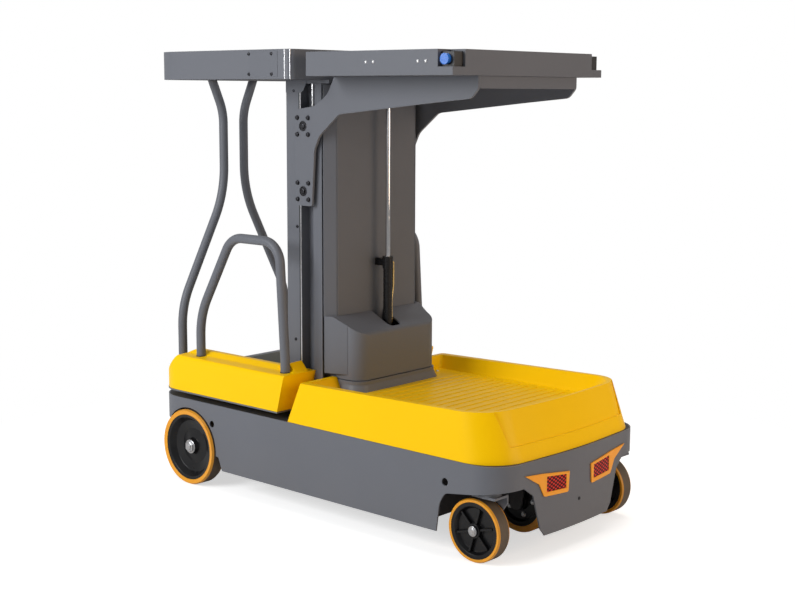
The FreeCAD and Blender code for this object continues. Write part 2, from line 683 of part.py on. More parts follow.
# Swivel casters under the front corners
def casters():
    x = size.caster_pivot - size.caster_trail
    y = -caster_track
    z = size.caster_radius
    half = size.caster_width / 2
    tyre = wheel(x, z, [
        (size.caster_rim_radius, y - half + 1), (size.caster_radius - 3, y - half),
        (size.caster_radius, y - half + 6), (size.caster_radius, y + half - 6),
        (size.caster_radius - 3, y + half), (size.caster_rim_radius, y + half - 1),
    ])
    bore = size.axle_radius - 4 + 0.05
    rim = size.caster_rim_radius - 0.05
    hub = wheel(x, z, [
        (bore, y - half), (22, y - half), (24, y - half + 14), (66, y - half + 14), (74, y - half + 2),
        (rim, y - half + 2), (rim, y + half - 2), (74, y + half - 2), (68, y + half - 12),
        (24, y + half - 12), (22, y + half), (bore, y + half),
    ])
    leg_inside = half + 4
    leg_outside = leg_inside + size.fork_plate
    head = size.caster_plate_height - size.seat_gap
    bridge_low = size.caster_radius * 2 + size.running_gap
    bridge_high = bridge_low + size.fork_bridge
    pivot = size.caster_pivot
    ahead = pivot + size.fork_front
    boss = size.fork_boss
    leg = [
        (ahead, bridge_high), (pivot - size.fork_rear, bridge_high, 10), (x - boss, z),
        (x - boss, z - boss, 20), (x + boss, z - boss, 20), (x + boss + 2, z + 8, 20),
        (ahead, bridge_low - 20, 20),
    ]
    plate = prism("XZ", y + leg_inside + size.fork_plate / 2, leg, size.fork_plate)
    bridge = box((pivot - size.fork_rear + 10, ahead), (y - size.yoke_radius + 4, y + leg_outside),
                 (bridge_low, bridge_high))
    swivel = rod("Z", (pivot, y), size.yoke_radius, bridge_low + 1, head)
    axle = rod("Y", (x, z), size.axle_radius - 4, y - half - 4, y + leg_outside + 4)
    bolt = rod("Y", (x, z), size.axle_radius + 2, y - half - 5, y - half - size.seat_gap)
    pair("caster_fork", fuse(plate, bridge, swivel, axle, bolt))
    pair("caster_tyre", tyre)
    pair("caster_hub", hub)


# Steered drive wheel under the nose
def drive_unit():
    x = size.drive_wheel_forward
    z = size.drive_wheel_radius
    half = size.drive_wheel_width / 2
    tyre = wheel(x, z, [
        (size.drive_rim_radius, -half + 2), (size.drive_wheel_radius - 4, -half),
        (size.drive_wheel_radius, -half + 8), (size.drive_wheel_radius, half - 8),
        (size.drive_wheel_radius - 4, half), (size.drive_rim_radius, half - 2),
    ])
    bore = size.axle_radius + 0.05
    rim = size.drive_rim_radius - 0.05
    hub = wheel(x, z, [
        (bore, -half), (30, -half), (34, -half + 14), (64, -half + 14), (70, -half + 3), (rim, -half + 3),
        (rim, half - 3), (70, half - 3), (64, half - 14), (34, half - 14), (30, half), (bore, half),
    ])
    head = size.caster_plate_height - size.seat_gap
    bridge = z * 2 + 8
    plate = size.frame_plate
    leg = [(x - 44, bridge), (x + 44, bridge), (x + 26, z, 20), (x + 20, z - 28, 20), (x - 20, z - 28, 20),
           (x - 26, z, 20)]
    legs = [prism("XZ", (half + 6 + plate / 2) * side, leg, plate) for side in (-1, 1)]
    turntable = rod("Z", (x, 0), size.turntable_radius, bridge - 0.5, head)
    axle = rod("Y", (x, z), size.axle_radius, -half - 6 - plate, half + 6 + plate)
    node("drive_fork", fuse(*legs, turntable, axle))
    node("drive_tyre", tyre)
    node("drive_hub", hub)
    flank = half + 6 + plate
    node("drive_motor", rod("Y", (x, z + 32), size.motor_radius, flank, flank + size.motor_length))


def skirt_plan(inset):
    """Foot of the skirt round the mast."""
    half = size.skirt_half_width + size.skirt_flange - inset
    rear = -size.deck_rear + size.deck_rear_lean + size.deck_rim + 26
    front = size.skirt_front + size.skirt_flange - inset
    return [(rear, -half), (front, -half, size.cover_corner), (front, half, size.cover_corner), (rear, half)]


# Load deck: a moulded cover with leaning sides and a sunken load floor
def load_deck():
    foot = size.chassis_top + size.seat_gap
    rise = size.deck_rise
    half = half_width - size.deck_inset
    body = document.addObject("PartDesign::Body", "DeckBody")

    def level(height, inset, front_inset, rear_shift, corner):
        drawn = sketch("XY", height, body)
        nose_round = size.nose_radius
        front = size.deck_front - front_inset
        nose = front + nose_round * (stretch - 1)
        side = half - inset
        shoulder = nose - side * size.nose_slope
        rear = -size.deck_rear + rear_shift
        return outline(drawn, [
            (rear, -side, 12), (shoulder, -side, corner), (nose, 0, nose_round), (shoulder, side, corner),
            (rear, side, 12),
        ])

    outer = body.newObject("PartDesign::AdditiveLoft", "Outer")
    outer.Profile = level(foot, 0, 0, 0, size.deck_corner)
    outer.Sections = [level(foot + rise, size.deck_lean, size.deck_front_lean, size.deck_rear_lean,
                            size.deck_corner - 10)]
    outer.Ruled = True
    rim = size.deck_rim
    floor_inset = rim + size.deck_wall_lean + size.deck_lean
    inner = body.newObject("PartDesign::SubtractiveLoft", "Inner")
    inner.Profile = level(size.deck_floor, floor_inset, size.deck_front_lean + rim + size.deck_wall_lean,
                          size.deck_rear_lean + rim + 20, size.deck_corner - 50)
    inner.Sections = [level(foot + rise + 1, size.deck_lean + rim, size.deck_front_lean + rim,
                            size.deck_rear_lean + rim - 8, size.deck_corner - 12)]
    inner.Ruled = True
    document.recompute()
    hollow_top = size.deck_floor - size.deck_shell
    side = half - 45
    nose = size.deck_front - 75
    hollow = prism("XY", foot - 1, [
        (-size.deck_rear + 40, -side), (nose, -side, 90), (nose, side, 90), (-size.deck_rear + 40, side),
    ], hollow_top - foot + 1)
    slope = prism("XZ", 0, [
        (-size.deck_rear - 20, foot + rise - 20), (size.deck_front, foot + rise),
        (size.deck_front, foot + rise + 20), (-size.deck_rear - 20, foot + rise + 20),
    ], size.chassis_width)
    front_edge = size.well_front + size.running_gap
    wide = box((-size.deck_rear - 10, -size.mast_front - 30), (-size.well_half_width, size.well_half_width),
               (foot - 1, foot + rise + 10))
    beside = size.skirt_half_width + size.seat_gap
    narrow = box((-size.mast_front - 31, front_edge), (-beside, beside), (foot - 1, foot + rise + 10))
    seat = prism("XY", size.deck_floor - size.skirt_seat, skirt_plan(-size.seat_gap), size.skirt_seat + 40)
    front = size.deck_front - size.deck_recess
    recess = prism("YZ", front, [
        (-size.deck_recess_foot, size.deck_step), (size.deck_recess_foot, size.deck_step),
        (size.deck_recess_head, foot + rise + 5), (-size.deck_recess_head, foot + rise + 5),
    ], size.chassis_width / 2)
    kept = lofted(
        outline(sketch("XY", foot), truck_outline(
            size.deck_rear, front, half, 12, size.deck_corner, size.nose_radius)),
        outline(sketch("XY", foot + rise), truck_outline(
            size.deck_rear, front - size.deck_front_lean, half - size.deck_lean, 12, size.deck_corner - 10,
            size.nose_radius)),
    )
    node("load_deck", cut(body, hollow, slope, seat, fuse(wide, narrow), cut(recess, kept)))


# Skirt round the mast's foot, fixed on the deck
def foot_skirt():
    top = size.cover_foot - size.skirt_gap
    foot = size.deck_floor - size.skirt_seat + size.seat_gap
    rear = -size.deck_rear + size.deck_rear_lean + size.running_gap
    wall = size.deck_shell
    flange = lofted(
        outline(sketch("XY", foot), skirt_plan(0)),
        outline(sketch("XY", foot + size.skirt_flare), skirt_plan(size.skirt_flange - size.seat_gap)),
    )
    upper = prism("XY", foot, [
        (rear, -size.skirt_half_width), (size.skirt_front, -size.skirt_half_width, size.cover_corner),
        (size.skirt_front, size.skirt_half_width, size.cover_corner), (rear, size.skirt_half_width),
    ], top - foot)
    hole = box((rear - 1, size.well_front + size.running_gap),
               (-size.skirt_half_width + wall * 3, size.skirt_half_width - wall * 3), (foot - 1, top + 1))
    node("foot_skirt", cut(fuse(flange, upper), hole))


# Fixed mast column and the two inner stages: nested box profiles with slide pads
def stage_limits(level):
    """Outer half width, rear and front of a stage; level 1 is the outermost inner stage."""
    inset = size.stage_gap * level + size.stage_wall * (level - 1)
    return (
        size.rail_inside - inset,
        -size.mast_rear + size.panel_wall + inset,
        -size.mast_front - size.panel_wall - inset,
    )


def nested_stage(label, level, bottom, top, pads_at_top):
    """A box profile with pads that fill the gap towards the next stage out."""
    half, rear, front = stage_limits(level)
    wall = size.stage_wall
    tube = cut(
        box((rear, front), (-half, half), (bottom, top)),
        box((rear + wall, front - wall), (-half + wall, half - wall), (bottom - 1, top + 1)),
    )
    pads = []
    if pads_at_top:
        reach = size.stage_gap - size.seat_gap
        low = top - size.pad_height - 10
        high = top - 10
        middle = (rear + front) / 2
        grip = size.pad_width / 2
        for side_low, side_high in ((-half - reach, -half), (half, half + reach)):
            pads.append(box((middle - grip, middle + grip), (side_low, side_high), (low, high)))
        for face_low, face_high in ((rear - reach, rear), (front, front + reach)):
            pads.append(box((face_low, face_high), (-grip * 2, grip * 2), (low, high)))
    return node(label, fuse(tube, *pads))


def mast_stages():
    bottom = size.mast_bottom
    top = size.mast_top - 6
    step = size.stage_rise
    nested_stage("mast_stage_3", 1, bottom - step / 2, top, True)
    nested_stage("mast_stage_2", 2, bottom - step, top - step / 2, True)
    nested_stage("mast_column", 3, floor_top, top - step, True)


# Outer mast: two rails with roller slots, a front panel, a back panel and a head plate
def mast_rails():
    face = -size.rail_face
    inside = -size.rail_inside
    wall = size.rail_wall
    rear = -size.mast_rear
    slot_rear = rear + size.rail_rear_leg
    slot_front = slot_rear + size.rail_slot
    front = slot_front + size.rail_front_leg
    deep = inside - wall
    profile = [
        (rear, face), (slot_rear, face), (slot_rear, deep), (slot_front, deep), (slot_front, face),
        (front, face), (front, face + wall), (slot_front + wall, face + wall), (slot_front + wall, inside),
        (rear, inside),
    ]
    length = size.mast_top - size.mast_bottom
    rail = prism("XY", size.mast_bottom, profile, length)
    hollow = box((rear + wall, slot_rear - wall), (face + wall, deep),
                 (size.mast_bottom - 1, size.mast_top + 1))
    pair("mast_rail", cut(rail, hollow))


def mast_panels():
    wall = size.panel_wall
    low = size.mast_bottom
    high = size.mast_top
    half = size.panel_half_width
    slot_front = -size.mast_rear + size.rail_rear_leg + size.rail_slot + size.rail_wall
    front = -size.mast_front
    outer = prism("XY", low, [
        (slot_front + size.seat_gap, -half), (front, -half, 6), (front, half, 6),
        (slot_front + size.seat_gap, half),
    ], high - low)
    inner = box((slot_front - 10, front - wall), (-half + wall, half - wall), (low - 1, high + 1))
    foot = box((front, size.barrel_radius - size.cylinder_x + 5), (-30, 30),
               (size.barrel_bottom - 12, size.barrel_bottom - size.seat_gap))
    node("mast_front_panel", fuse(cut(outer, inner), foot))
    node("mast_back_panel", box((-size.mast_rear, -size.mast_rear + wall),
                                (-size.rail_inside + size.seat_gap, size.rail_inside - size.seat_gap),
                                (low, high)))
    node("mast_head", box((-size.mast_rear, -size.mast_front), (-size.rail_face, size.rail_face),
                          (high + size.seat_gap, high + size.cap_height - size.seat_gap)))


# Foot cover: a moulded hood with a notch for the cylinder, carried by the front panel
def foot_cover():
    back = -size.mast_front + size.seat_gap

    def hood(inset, beyond):
        half = size.cover_half_width - inset
        front = size.cover_front - inset
        foot = size.cover_foot - beyond
        side = prism("XZ", 0, [
            (back - beyond, foot), (front, foot), (front, size.cover_shoulder - inset, 14),
            (back - beyond, size.cover_head - inset),
        ], half * 2)
        plan = prism("XY", foot, [
            (back - beyond, -half), (front, -half, size.cover_corner - inset),
            (front, half, size.cover_corner - inset), (back - beyond, half),
        ], size.cover_head - foot)
        return common(side, plan)

    notch_front = size.cover_front - 16
    notch = prism("XY", size.cover_shoulder - 12, [
        (back - 5, -size.cover_notch), (notch_front, -size.cover_notch, 18),
        (notch_front, size.cover_notch, 18), (back - 5, size.cover_notch),
    ], size.cover_head - size.cover_shoulder + 40)
    node("foot_cover", cut(hood(0, 0), hood(size.panel_wall, 5), notch))


# Operator's platform: a pan hung behind the mast, its mat and the yellow side covers
def platform():
    top = size.platform_top
    foot = size.side_cover_foot
    half = side_cover_inside - size.seat_gap
    rear = -size.platform_rear
    front = -size.mast_rear - size.seat_gap
    plan = [(rear, -half, 40), (front, -half), (front, half), (rear, half, 40)]
    sheet_top = top - size.platform_mat
    wall = size.platform_sheet
    pan = prism("XY", foot, plan, sheet_top - foot)
    under = box((rear + 45, front - wall), (-half + wall, half - wall), (foot - 1, sheet_top - wall))
    node("platform_floor", cut(pan, under))
    mat = [(rear + 45, -half + 12, 30), (front - 6, -half + 12, 8), (front - 6, half - 12, 8),
           (rear + 45, half - 12, 30)]
    node("platform_mat", prism("XY", top - size.platform_mat + size.seat_gap, mat,
                               size.platform_mat - size.seat_gap))


def side_covers():
    foot = size.side_cover_foot
    crease = size.side_cover_crease
    crest = size.side_cover_crest
    inside = -side_cover_inside
    face = -side_cover_face
    rear = -size.side_cover_rear
    front = -size.side_cover_front
    head = front + size.side_cover_slant
    section = [
        (face, foot), (face, crease, 10), (inside - 52, crease + 3, 14), (inside - 30, crest, 8),
        (inside, crest - 2, 6), (inside, foot),
    ]
    bar = prism("YZ", (rear + head) / 2, section, head - rear)
    profile = [
        (rear, foot), (front, foot), (head, crease), (head - 26, crest + 1), (rear + 128, crest + 1, 60),
        (rear + 22, foot + 46, 50), (rear, foot + 16),
    ]
    side = prism("XZ", (face + inside) / 2, profile, size.side_cover_width * 2)
    plan = prism("XY", foot - 1, [
        (rear, face, size.side_cover_corner), (head + 60, face), (head + 60, inside), (rear, inside),
    ], crest - foot + 10)
    rail = -size.rail_face - size.seat_gap
    tab = prism("XZ", (inside + rail) / 2, [
        (front - 26, foot), (front, foot), (head, crease), (front - 26, crease),
    ], rail - inside + 1)
    holes = [rod("Z", (-x, -hoop_track), size.tube_radius + size.seat_gap,
                 size.hoop_seat - size.seat_gap, crest + 20) for x in (size.hoop_rear, size.hoop_front)]
    beyond_rail = box((-size.mast_rear - size.seat_gap, head + 5), (rail, 0), (foot - 1, crest + 1))
    pair("side_cover", cut(fuse(common(common(bar, side), plan), tab), beyond_rail, *holes))


# Bent round bars: side hoops and the two curved back tubes
def hoops():
    top = size.hoop_top
    pair("hoop", swept("XZ", -hoop_track, [
        (-size.hoop_rear, size.hoop_seat),
        (-size.hoop_rear, size.hoop_rear_bend, size.hoop_rear_bend_radius),
        (-size.hoop_shoulder, top, size.hoop_shoulder_radius),
        (-size.hoop_front - size.hoop_front_lean, top, size.hoop_front_radius),
        (-size.hoop_front, size.hoop_front_bend, size.hoop_front_radius * 2.5),
        (-size.hoop_front, size.hoop_seat),
    ], size.tube_radius))


def back_tubes():
    tube = swept("YZ", -size.back_tube_x, [
        (-size.back_tube_foot, size.platform_top - size.platform_mat + size.seat_gap),
        (-size.back_tube_foot, size.back_tube_bend, size.back_tube_bend / 2),
        (-size.back_tube_waist, size.back_tube_waist_low, size.back_tube_waist_low * 0.4),
        (-size.back_tube_waist, size.back_tube_waist_high, size.back_tube_waist_low * 0.2),
        (-size.back_tube_head, size.ring_bottom + size.tube_radius * 2),
    ], size.tube_radius)
    above = box((-size.back_tube_x - 50, -size.back_tube_x + 50), (-size.ring_half_width, 0),
                (size.ring_bottom - size.seat_gap, size.ring_top))
    pair("back_tube", cut(tube, above))


# Guard ring, console and its small steering wheel
def ring_plan(inset):
    """The guard ring from above, moved in by inset."""
    half = size.ring_half_width - inset
    rear = -size.ring_rear + inset
    front = -size.ring_front - inset
    rear_round = size.ring_rear_corner - inset
    return [
        (rear, -half, rear_round), (front, -half, size.ring_front_corner),
        (front, half, size.ring_front_corner), (rear, half, rear_round),
    ]


def guard_ring():
    height = size.ring_top - size.ring_bottom
    outer = prism("XY", size.ring_bottom, ring_plan(0), height)
    inner = prism("XY", size.ring_bottom - 1, ring_plan(size.ring_band), height + 2)
    node("guard_ring", cut(outer, inner))


def console():
    inside = size.ring_half_width - size.ring_band - size.seat_gap
    front = -size.ring_front - size.ring_band - size.seat_gap
    profile = [
        (-size.console_rear, size.ring_bottom), (front, size.ring_bottom), (front, console_top),
        (-size.console_rear + 40, console_top, 12), (-size.console_rear, console_top - 34, 12),
    ]
    within = prism("XY", size.ring_bottom - 1, ring_plan(size.ring_band + size.seat_gap),
                   console_top - size.ring_bottom + 2)
    hood = common(prism("XZ", 0, profile, inside * 2), within)
    column = rod("Z", (-size.steering_back, steering_side), 14, console_top - 1, console_top + 4)
    node("console", fuse(hood, column))
    x = -size.steering_back
    y = steering_side
    rim = document.addObject("Part::Torus", "Rim")
    bind(rim, "Radius1", size.steering_radius - 8)
    rim.Radius2 = 8
    place(rim, x, y, console_top + 20)
    base = console_top + 4 + size.seat_gap
    boss = rod("Z", (x, y), 20, base, console_top + 24)
    spoke = box((x - size.steering_radius + 10, x + size.steering_radius - 10), (y - 8, y + 8),
                (console_top + 14, console_top + 22))
    node("steering_wheel", fuse(rim, boss, spoke))


# Load tray, its two arms, the cross plate, the rollers and the stop buttons
def tray_arms():
    face = size.arm_face - size.arm_plate / 2
    profile = [
        (-size.arm_rear, size.arm_foot, 8), (-size.arm_front, size.arm_foot, 8),
        (-size.arm_front + 12, size.roller_high - 76, 60), (-size.arm_front + 35, size.roller_high - 30, 60),
        (size.arm_throat_x, size.arm_throat, 40), (size.arm_belly_x, size.arm_belly, 400),
        (size.arm_nose_x, size.arm_nose, 30), (size.crossbar_x, size.crossbar_bottom, 20),
        (size.crossbar_x, size.tray_bottom - size.seat_gap),
        (-size.tray_rear - 1, size.tray_bottom - size.seat_gap, 12),
        (-size.tray_rear - 33, size.arm_shoulder + 48, 60),
        (-size.arm_front + 13, size.arm_shoulder + 12, 40), (-size.arm_rear, size.arm_shoulder, 10),
    ]
    pair("tray_arm", prism("XZ", -face, profile, size.arm_plate))


def tray_crossbar():
    inside = size.arm_face - size.arm_plate - size.seat_gap
    top = size.tray_bottom - size.seat_gap
    face = size.crossbar_x - size.crossbar_plate
    front = box((face, size.crossbar_x), (-inside, inside), (size.crossbar_bottom, top))
    ledge = box((size.crossbar_x - size.crossbar_ledge, face), (-inside, inside), (top - size.ledge_plate, top))
    reach = size.saddle_reach
    low = size.rod_top + size.seat_gap
    x = -size.cylinder_x
    saddle = box((x - reach, x + reach), (-inside, inside), (low, low + size.ledge_plate))
    web = box((x - size.ledge_plate / 2, x + size.ledge_plate / 2), (-inside, inside), (low, top))
    node("tray_crossbar", fuse(front, ledge))
    node("tray_saddle", fuse(saddle, web))


def tray_rollers():
    pieces = []
    rail = size.rail_face
    deep = size.rail_inside + size.rail_wall
    inside = size.arm_face - size.arm_plate
    for z in (size.roller_low, size.roller_high):
        for side in (-1, 1):
            low, high = (deep + 4, rail - 4)
            pin_low, pin_high = (rail - 5, inside - size.seat_gap)
            if side < 0:
                low, high, pin_low, pin_high = (-high, -low, -pin_high, -pin_low)
            roller = rod("Y", (-size.roller_x, z), size.roller_radius, low, high)
            pin = rod("Y", (-size.roller_x, z), 10, pin_low, pin_high)
            pieces.append(fuse(roller, pin))
    node("tray_rollers", fuse(*pieces))


def load_tray():
    half = size.tray_half_width
    wall = size.tray_wall
    low = size.tray_bottom
    high = size.tray_top
    notch = size.tray_notch
    outer = box((-size.tray_rear, size.tray_front), (-half, half), (low, high))
    inner = box((-size.tray_rear + wall, size.tray_front - wall), (-half + wall, half - wall),
                (low + wall, high + 1))
    corners = []
    walls = []
    for side in (-1, 1):
        y_low, y_high = (-half - 1, -half + notch) if side < 0 else (half - notch, half + 1)
        corners.append(box((size.tray_front - notch, size.tray_front + 1), (y_low, y_high),
                           (low + size.tray_corner, high + 1)))
        face = (-half + notch, -half + notch + wall) if side < 0 else (half - notch - wall, half - notch)
        walls.append(box((size.tray_front - notch - wall, size.tray_front - wall), face, (low, high)))
        back = (-half, -half + notch + wall) if side < 0 else (half - notch - wall, half)
        walls.append(box((size.tray_front - notch - wall, size.tray_front - notch), back, (low, high)))
    node("load_tray", fuse(cut(outer, inner, *corners), *walls))
    housings = []
    buttons = []
    for side in (-1, 1):
        face = half - size.button_depth
        reach = half - notch + size.seat_gap
        y_low, y_high = (-face, -reach) if side < 0 else (reach, face)
        housings.append(box((size.tray_front - notch + size.seat_gap, size.tray_front - size.button_sill - 1),
                            (y_low, y_high),
                            (low + size.tray_corner + size.seat_gap, high - size.button_sill)))
        y_low, y_high = (-half + 2, -face - size.seat_gap) if side < 0 else (face + size.seat_gap, half - 2)
        buttons.append(rod("Y", (size.tray_front - notch + size.button_forward, (low + high) / 2 + 9), size.button_radius,
                           y_low, y_high))
    node("button_housings", fuse(*housings))
    node("stop_buttons", fuse(*buttons))


# Tray cylinder: a slim barrel, its gland, the chromed rod and the brass oil pipe
def tray_cylinder():
    centre = (-size.cylinder_x, 0)
    bore = size.rod_radius + 2
    barrel = cut(
        rod("Z", centre, size.barrel_radius, size.barrel_bottom, size.gland_bottom + 1),
        rod("Z", centre, bore, size.barrel_bottom + 10, size.gland_bottom + 2),
    )
    gland = cut(
        rod("Z", centre, size.gland_radius, size.gland_bottom, size.gland_top),
        rod("Z", centre, size.rod_radius + 0.3, size.gland_bottom - 1, size.gland_top + 1),
    )
    tie = cut(
        box((-size.mast_front + size.seat_gap, -size.cylinder_x), (-12, 12),
            (size.gland_bottom + 8, size.gland_top - 8)),
        rod("Z", centre, size.gland_radius - 2, size.gland_bottom, size.gland_top),
    )
    node("cylinder_barrel", fuse(barrel, gland, tie))
    node("cylinder_rod", rod("Z", centre, size.rod_radius, size.rod_foot, size.rod_top))
    pipe_y = size.barrel_radius + size.pipe_radius + 1
    node("oil_pipe", swept("YZ", -size.cylinder_x, [
        (size.gland_radius + size.seat_gap, size.gland_bottom + 20), (pipe_y + 8, size.gland_bottom + 20, 6),
        (pipe_y + 8, size.gland_bottom - 60, 40), (pipe_y, size.gland_bottom - 110, 40),
        (pipe_y, size.barrel_bottom + 100),
    ], size.pipe_radius))


# Nose lamps: two horned frames that follow the bulged front, each round a red lens
def lamps():
    low = size.apron_head_height - 50
    tall = 120

    def skin(outside, inside):
        return cut(prism("XY", low, chassis_plan(-outside), tall),
                   prism("XY", low - 1, chassis_plan(-inside), tall + 2))

    def facing(corners):
        return [prism("YZ", size.chassis_front, [(c[0] * side,) + tuple(c[1:]) for c in corners], 60)
                for side in (-1, 1)]

    inner = size.lamp_inner
    outer = size.lamp_outer
    foot = size.lamp_foot
    crown = size.lamp_crown
    horn = [
        (inner, crown - 15), (inner + 5, foot, 6), (outer, foot + 7, 8), (outer + 24, foot + 49),
        (size.lamp_tip, crown + 7), (outer, crown, 10),
    ]

    def opening(inset):
        left = inner + size.lamp_border + inset
        right = outer - size.lamp_rim - inset
        return [
            (left, crown - size.lamp_rim - 11 - inset), (left, foot + size.lamp_rim + 4 + inset),
            (right, foot + size.lamp_rim + 9 + inset), (right, crown - size.lamp_rim - 1 - inset),
        ]

    gap = size.seat_gap
    proud = size.lamp_frame
    frames = [cut(common(skin(proud, gap), horned), window)
              for horned, window in zip(facing(horn), facing(opening(0)))]
    lenses = [common(skin(proud - 1, gap), shape) for shape in facing(opening(gap))]
    node("lamp_frames", fuse(*frames))
    node("lamp_lenses", fuse(*lenses))


chassis_shell()
chassis_frame()
battery_block()
rear_axle()
rear_wheels()
casters()
drive_unit()
load_deck()
foot_skirt()
mast_stages()
mast_rails()
mast_panels()
foot_cover()
platform()
side_covers()
hoops()
back_tubes()
guard_ring()
console()
tray_arms()
tray_crossbar()
tray_rollers()
load_tray()
tray_cylinder()
lamps()

document.recompute()
for thing in document.Objects:
    if "Invalid" in thing.State or "Error" in thing.State:
        raise RuntimeError(f"{thing.Label} failed: {thing.State}")
os.makedirs("parts", exist_ok=True)
for label, thing in nodes.items():
    shape = thing.Shape
    if shape.isNull() or not shape.isValid() or not shape.Solids:
        raise RuntimeError(f"{label} is not a sound solid")
    shape.exportStep(f"parts/{label}.step")
    print(f"{label}: {len(shape.Solids)} solid, {shape.Volume / 1000:.0f} cm3")
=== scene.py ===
import json
import math

import bmesh
import bpy
from mathutils import Matrix, Vector


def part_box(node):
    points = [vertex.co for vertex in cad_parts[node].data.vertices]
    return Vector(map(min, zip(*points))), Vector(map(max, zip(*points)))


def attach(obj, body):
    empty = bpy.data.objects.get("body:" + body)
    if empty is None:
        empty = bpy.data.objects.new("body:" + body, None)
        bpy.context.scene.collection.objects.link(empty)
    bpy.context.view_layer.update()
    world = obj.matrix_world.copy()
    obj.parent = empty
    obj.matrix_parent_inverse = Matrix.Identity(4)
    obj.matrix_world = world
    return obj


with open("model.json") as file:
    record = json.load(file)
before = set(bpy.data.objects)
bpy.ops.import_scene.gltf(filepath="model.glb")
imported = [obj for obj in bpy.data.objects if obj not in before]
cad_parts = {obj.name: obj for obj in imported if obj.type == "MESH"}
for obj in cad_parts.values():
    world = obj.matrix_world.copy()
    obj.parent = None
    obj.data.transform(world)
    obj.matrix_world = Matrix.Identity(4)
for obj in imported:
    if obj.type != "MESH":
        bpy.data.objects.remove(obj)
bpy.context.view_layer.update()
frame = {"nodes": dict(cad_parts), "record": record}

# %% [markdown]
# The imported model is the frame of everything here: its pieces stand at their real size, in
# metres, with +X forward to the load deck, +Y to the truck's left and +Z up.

nodes = frame["nodes"]

# %% [markdown]
# A product photograph is taken from some way off with a long lens, so that the sides stay nearly
# parallel. The place, the three angles and the lens below were found from straight edges of the
# truck. A camera looks along its own -Z, so its matrix holds the right, up and backward directions.

# %% Camera
CAMERA_PLACE = Vector((3.0924, -3.4007, 1.3717))
CAMERA_YAW = math.radians(41.8857)
CAMERA_PITCH = math.radians(8.6280)
CAMERA_ROLL = math.radians(0.2190)
CAMERA_LENS, SENSOR_WIDTH = 62.15, 36

ahead = Vector((
    -math.sin(CAMERA_YAW) * math.cos(CAMERA_PITCH),
    math.cos(CAMERA_YAW) * math.cos(CAMERA_PITCH),
    -math.sin(CAMERA_PITCH),
))
level_right = Vector((math.cos(CAMERA_YAW), math.sin(CAMERA_YAW), 0))
level_up = level_right.cross(ahead)
right = level_right * math.cos(CAMERA_ROLL) + level_up * math.sin(CAMERA_ROLL)
up = level_up * math.cos(CAMERA_ROLL) - level_right * math.sin(CAMERA_ROLL)

lens = bpy.data.cameras.new("photo_lens")
lens.lens = CAMERA_LENS
lens.sensor_width = SENSOR_WIDTH
camera = bpy.data.objects.new("photo_camera", lens)
bpy.context.scene.collection.objects.link(camera)
turned = Matrix((right, up, -ahead)).transposed().to_4x4()
camera.matrix_world = Matrix.Translation(CAMERA_PLACE) @ turned
bpy.context.scene.camera = camera
bpy.context.scene.view_settings.view_transform = "Standard"
print("camera", [round(value, 3) for value in CAMERA_PLACE])

# %% [markdown]
# Node trees are long to write by hand, one node and one link at a time. Two small helpers make
# them read like sums: Socket wraps an output and turns + - * / into Math nodes, and Tree.node
# makes any other node from its type, its settings and the values or links of its inputs.

# %% Sockets with operators
class Socket:
    """An output of a node. Arithmetic on it adds Math nodes to the same tree."""

    def __init__(self, tree, output):
        self.tree = tree
        self.output = output

    def __add__(self, other):
        return self.tree.maths("ADD", self, other)

    def __radd__(self, other):
        return self.tree.maths("ADD", other, self)

    def __sub__(self, other):
        return self.tree.maths("SUBTRACT", self, other)

    def __rsub__(self, other):
        return self.tree.maths("SUBTRACT", other, self)

    def __mul__(self, other):
        return self.tree.maths("MULTIPLY", self, other)

    def __rmul__(self, other):
        return self.tree.maths("MULTIPLY", other, self)

    def __truediv__(self, other):
        return self.tree.maths("DIVIDE", self, other)

    def __rtruediv__(self, other):
        return self.tree.maths("DIVIDE", other, self)

    def clamped(self):
        """The value, held between 0 and 1."""
        return self.tree.maths("MINIMUM", self.tree.maths("MAXIMUM", self, 0.0), 1.0)


print("sums with sockets: + - * / with a number on either side")

# %% [markdown]
# A node has a type, settings such as a Math node's operation, and inputs that take a value or a
# link. One method takes all of these, so that every tree below is built in the same way.

# %% One way to make any node
class Tree:
    """A node tree of a material, a world or Geometry Nodes."""

    def __init__(self, nodes_of):
        self.nodes_of = nodes_of

    def feed(self, input_socket, value):
        """Link a Socket to an input, or set a plain value on it."""
        if isinstance(value, Socket):
            self.nodes_of.links.new(value.output, input_socket)
        elif value is not None:
            input_socket.default_value = value

    def node(self, kind, settings=None, inputs=None, output=0):
        """A node with its settings set first, then its inputs; gives one output by name or number."""
        made = self.nodes_of.nodes.new(kind)
        for name, value in (settings or {}).items():
            setattr(made, name, value)
        for name, value in (inputs or {}).items():
            self.feed(made.inputs[name], value)
        return Socket(self, made.outputs[output]) if len(made.outputs) else None

    def maths(self, operation, first, second=None):
        """One Math node."""
        return self.node("ShaderNodeMath", {"operation": operation}, {0: first, 1: second})

    def parts(self, vector):
        """The X, Y and Z of a vector, as three sockets."""
        made = self.node("ShaderNodeSeparateXYZ", inputs={0: vector}).output.node
        return [Socket(self, output) for output in made.outputs]


print("nodes come from", Tree.node.__qualname__)

# %% [markdown]
# Each finish is one Principled shader. What is the same all over is set on the shader itself.
# What changes over a surface, such as cloudiness of a paint, the fine orange peel of a powder
# coat or the bright worn edge of a corner, is made from noise on Object coordinates. A Bevel node
# gives the light a small round to catch on every edge, and how far it turns the normal also tells
# where the edges are.

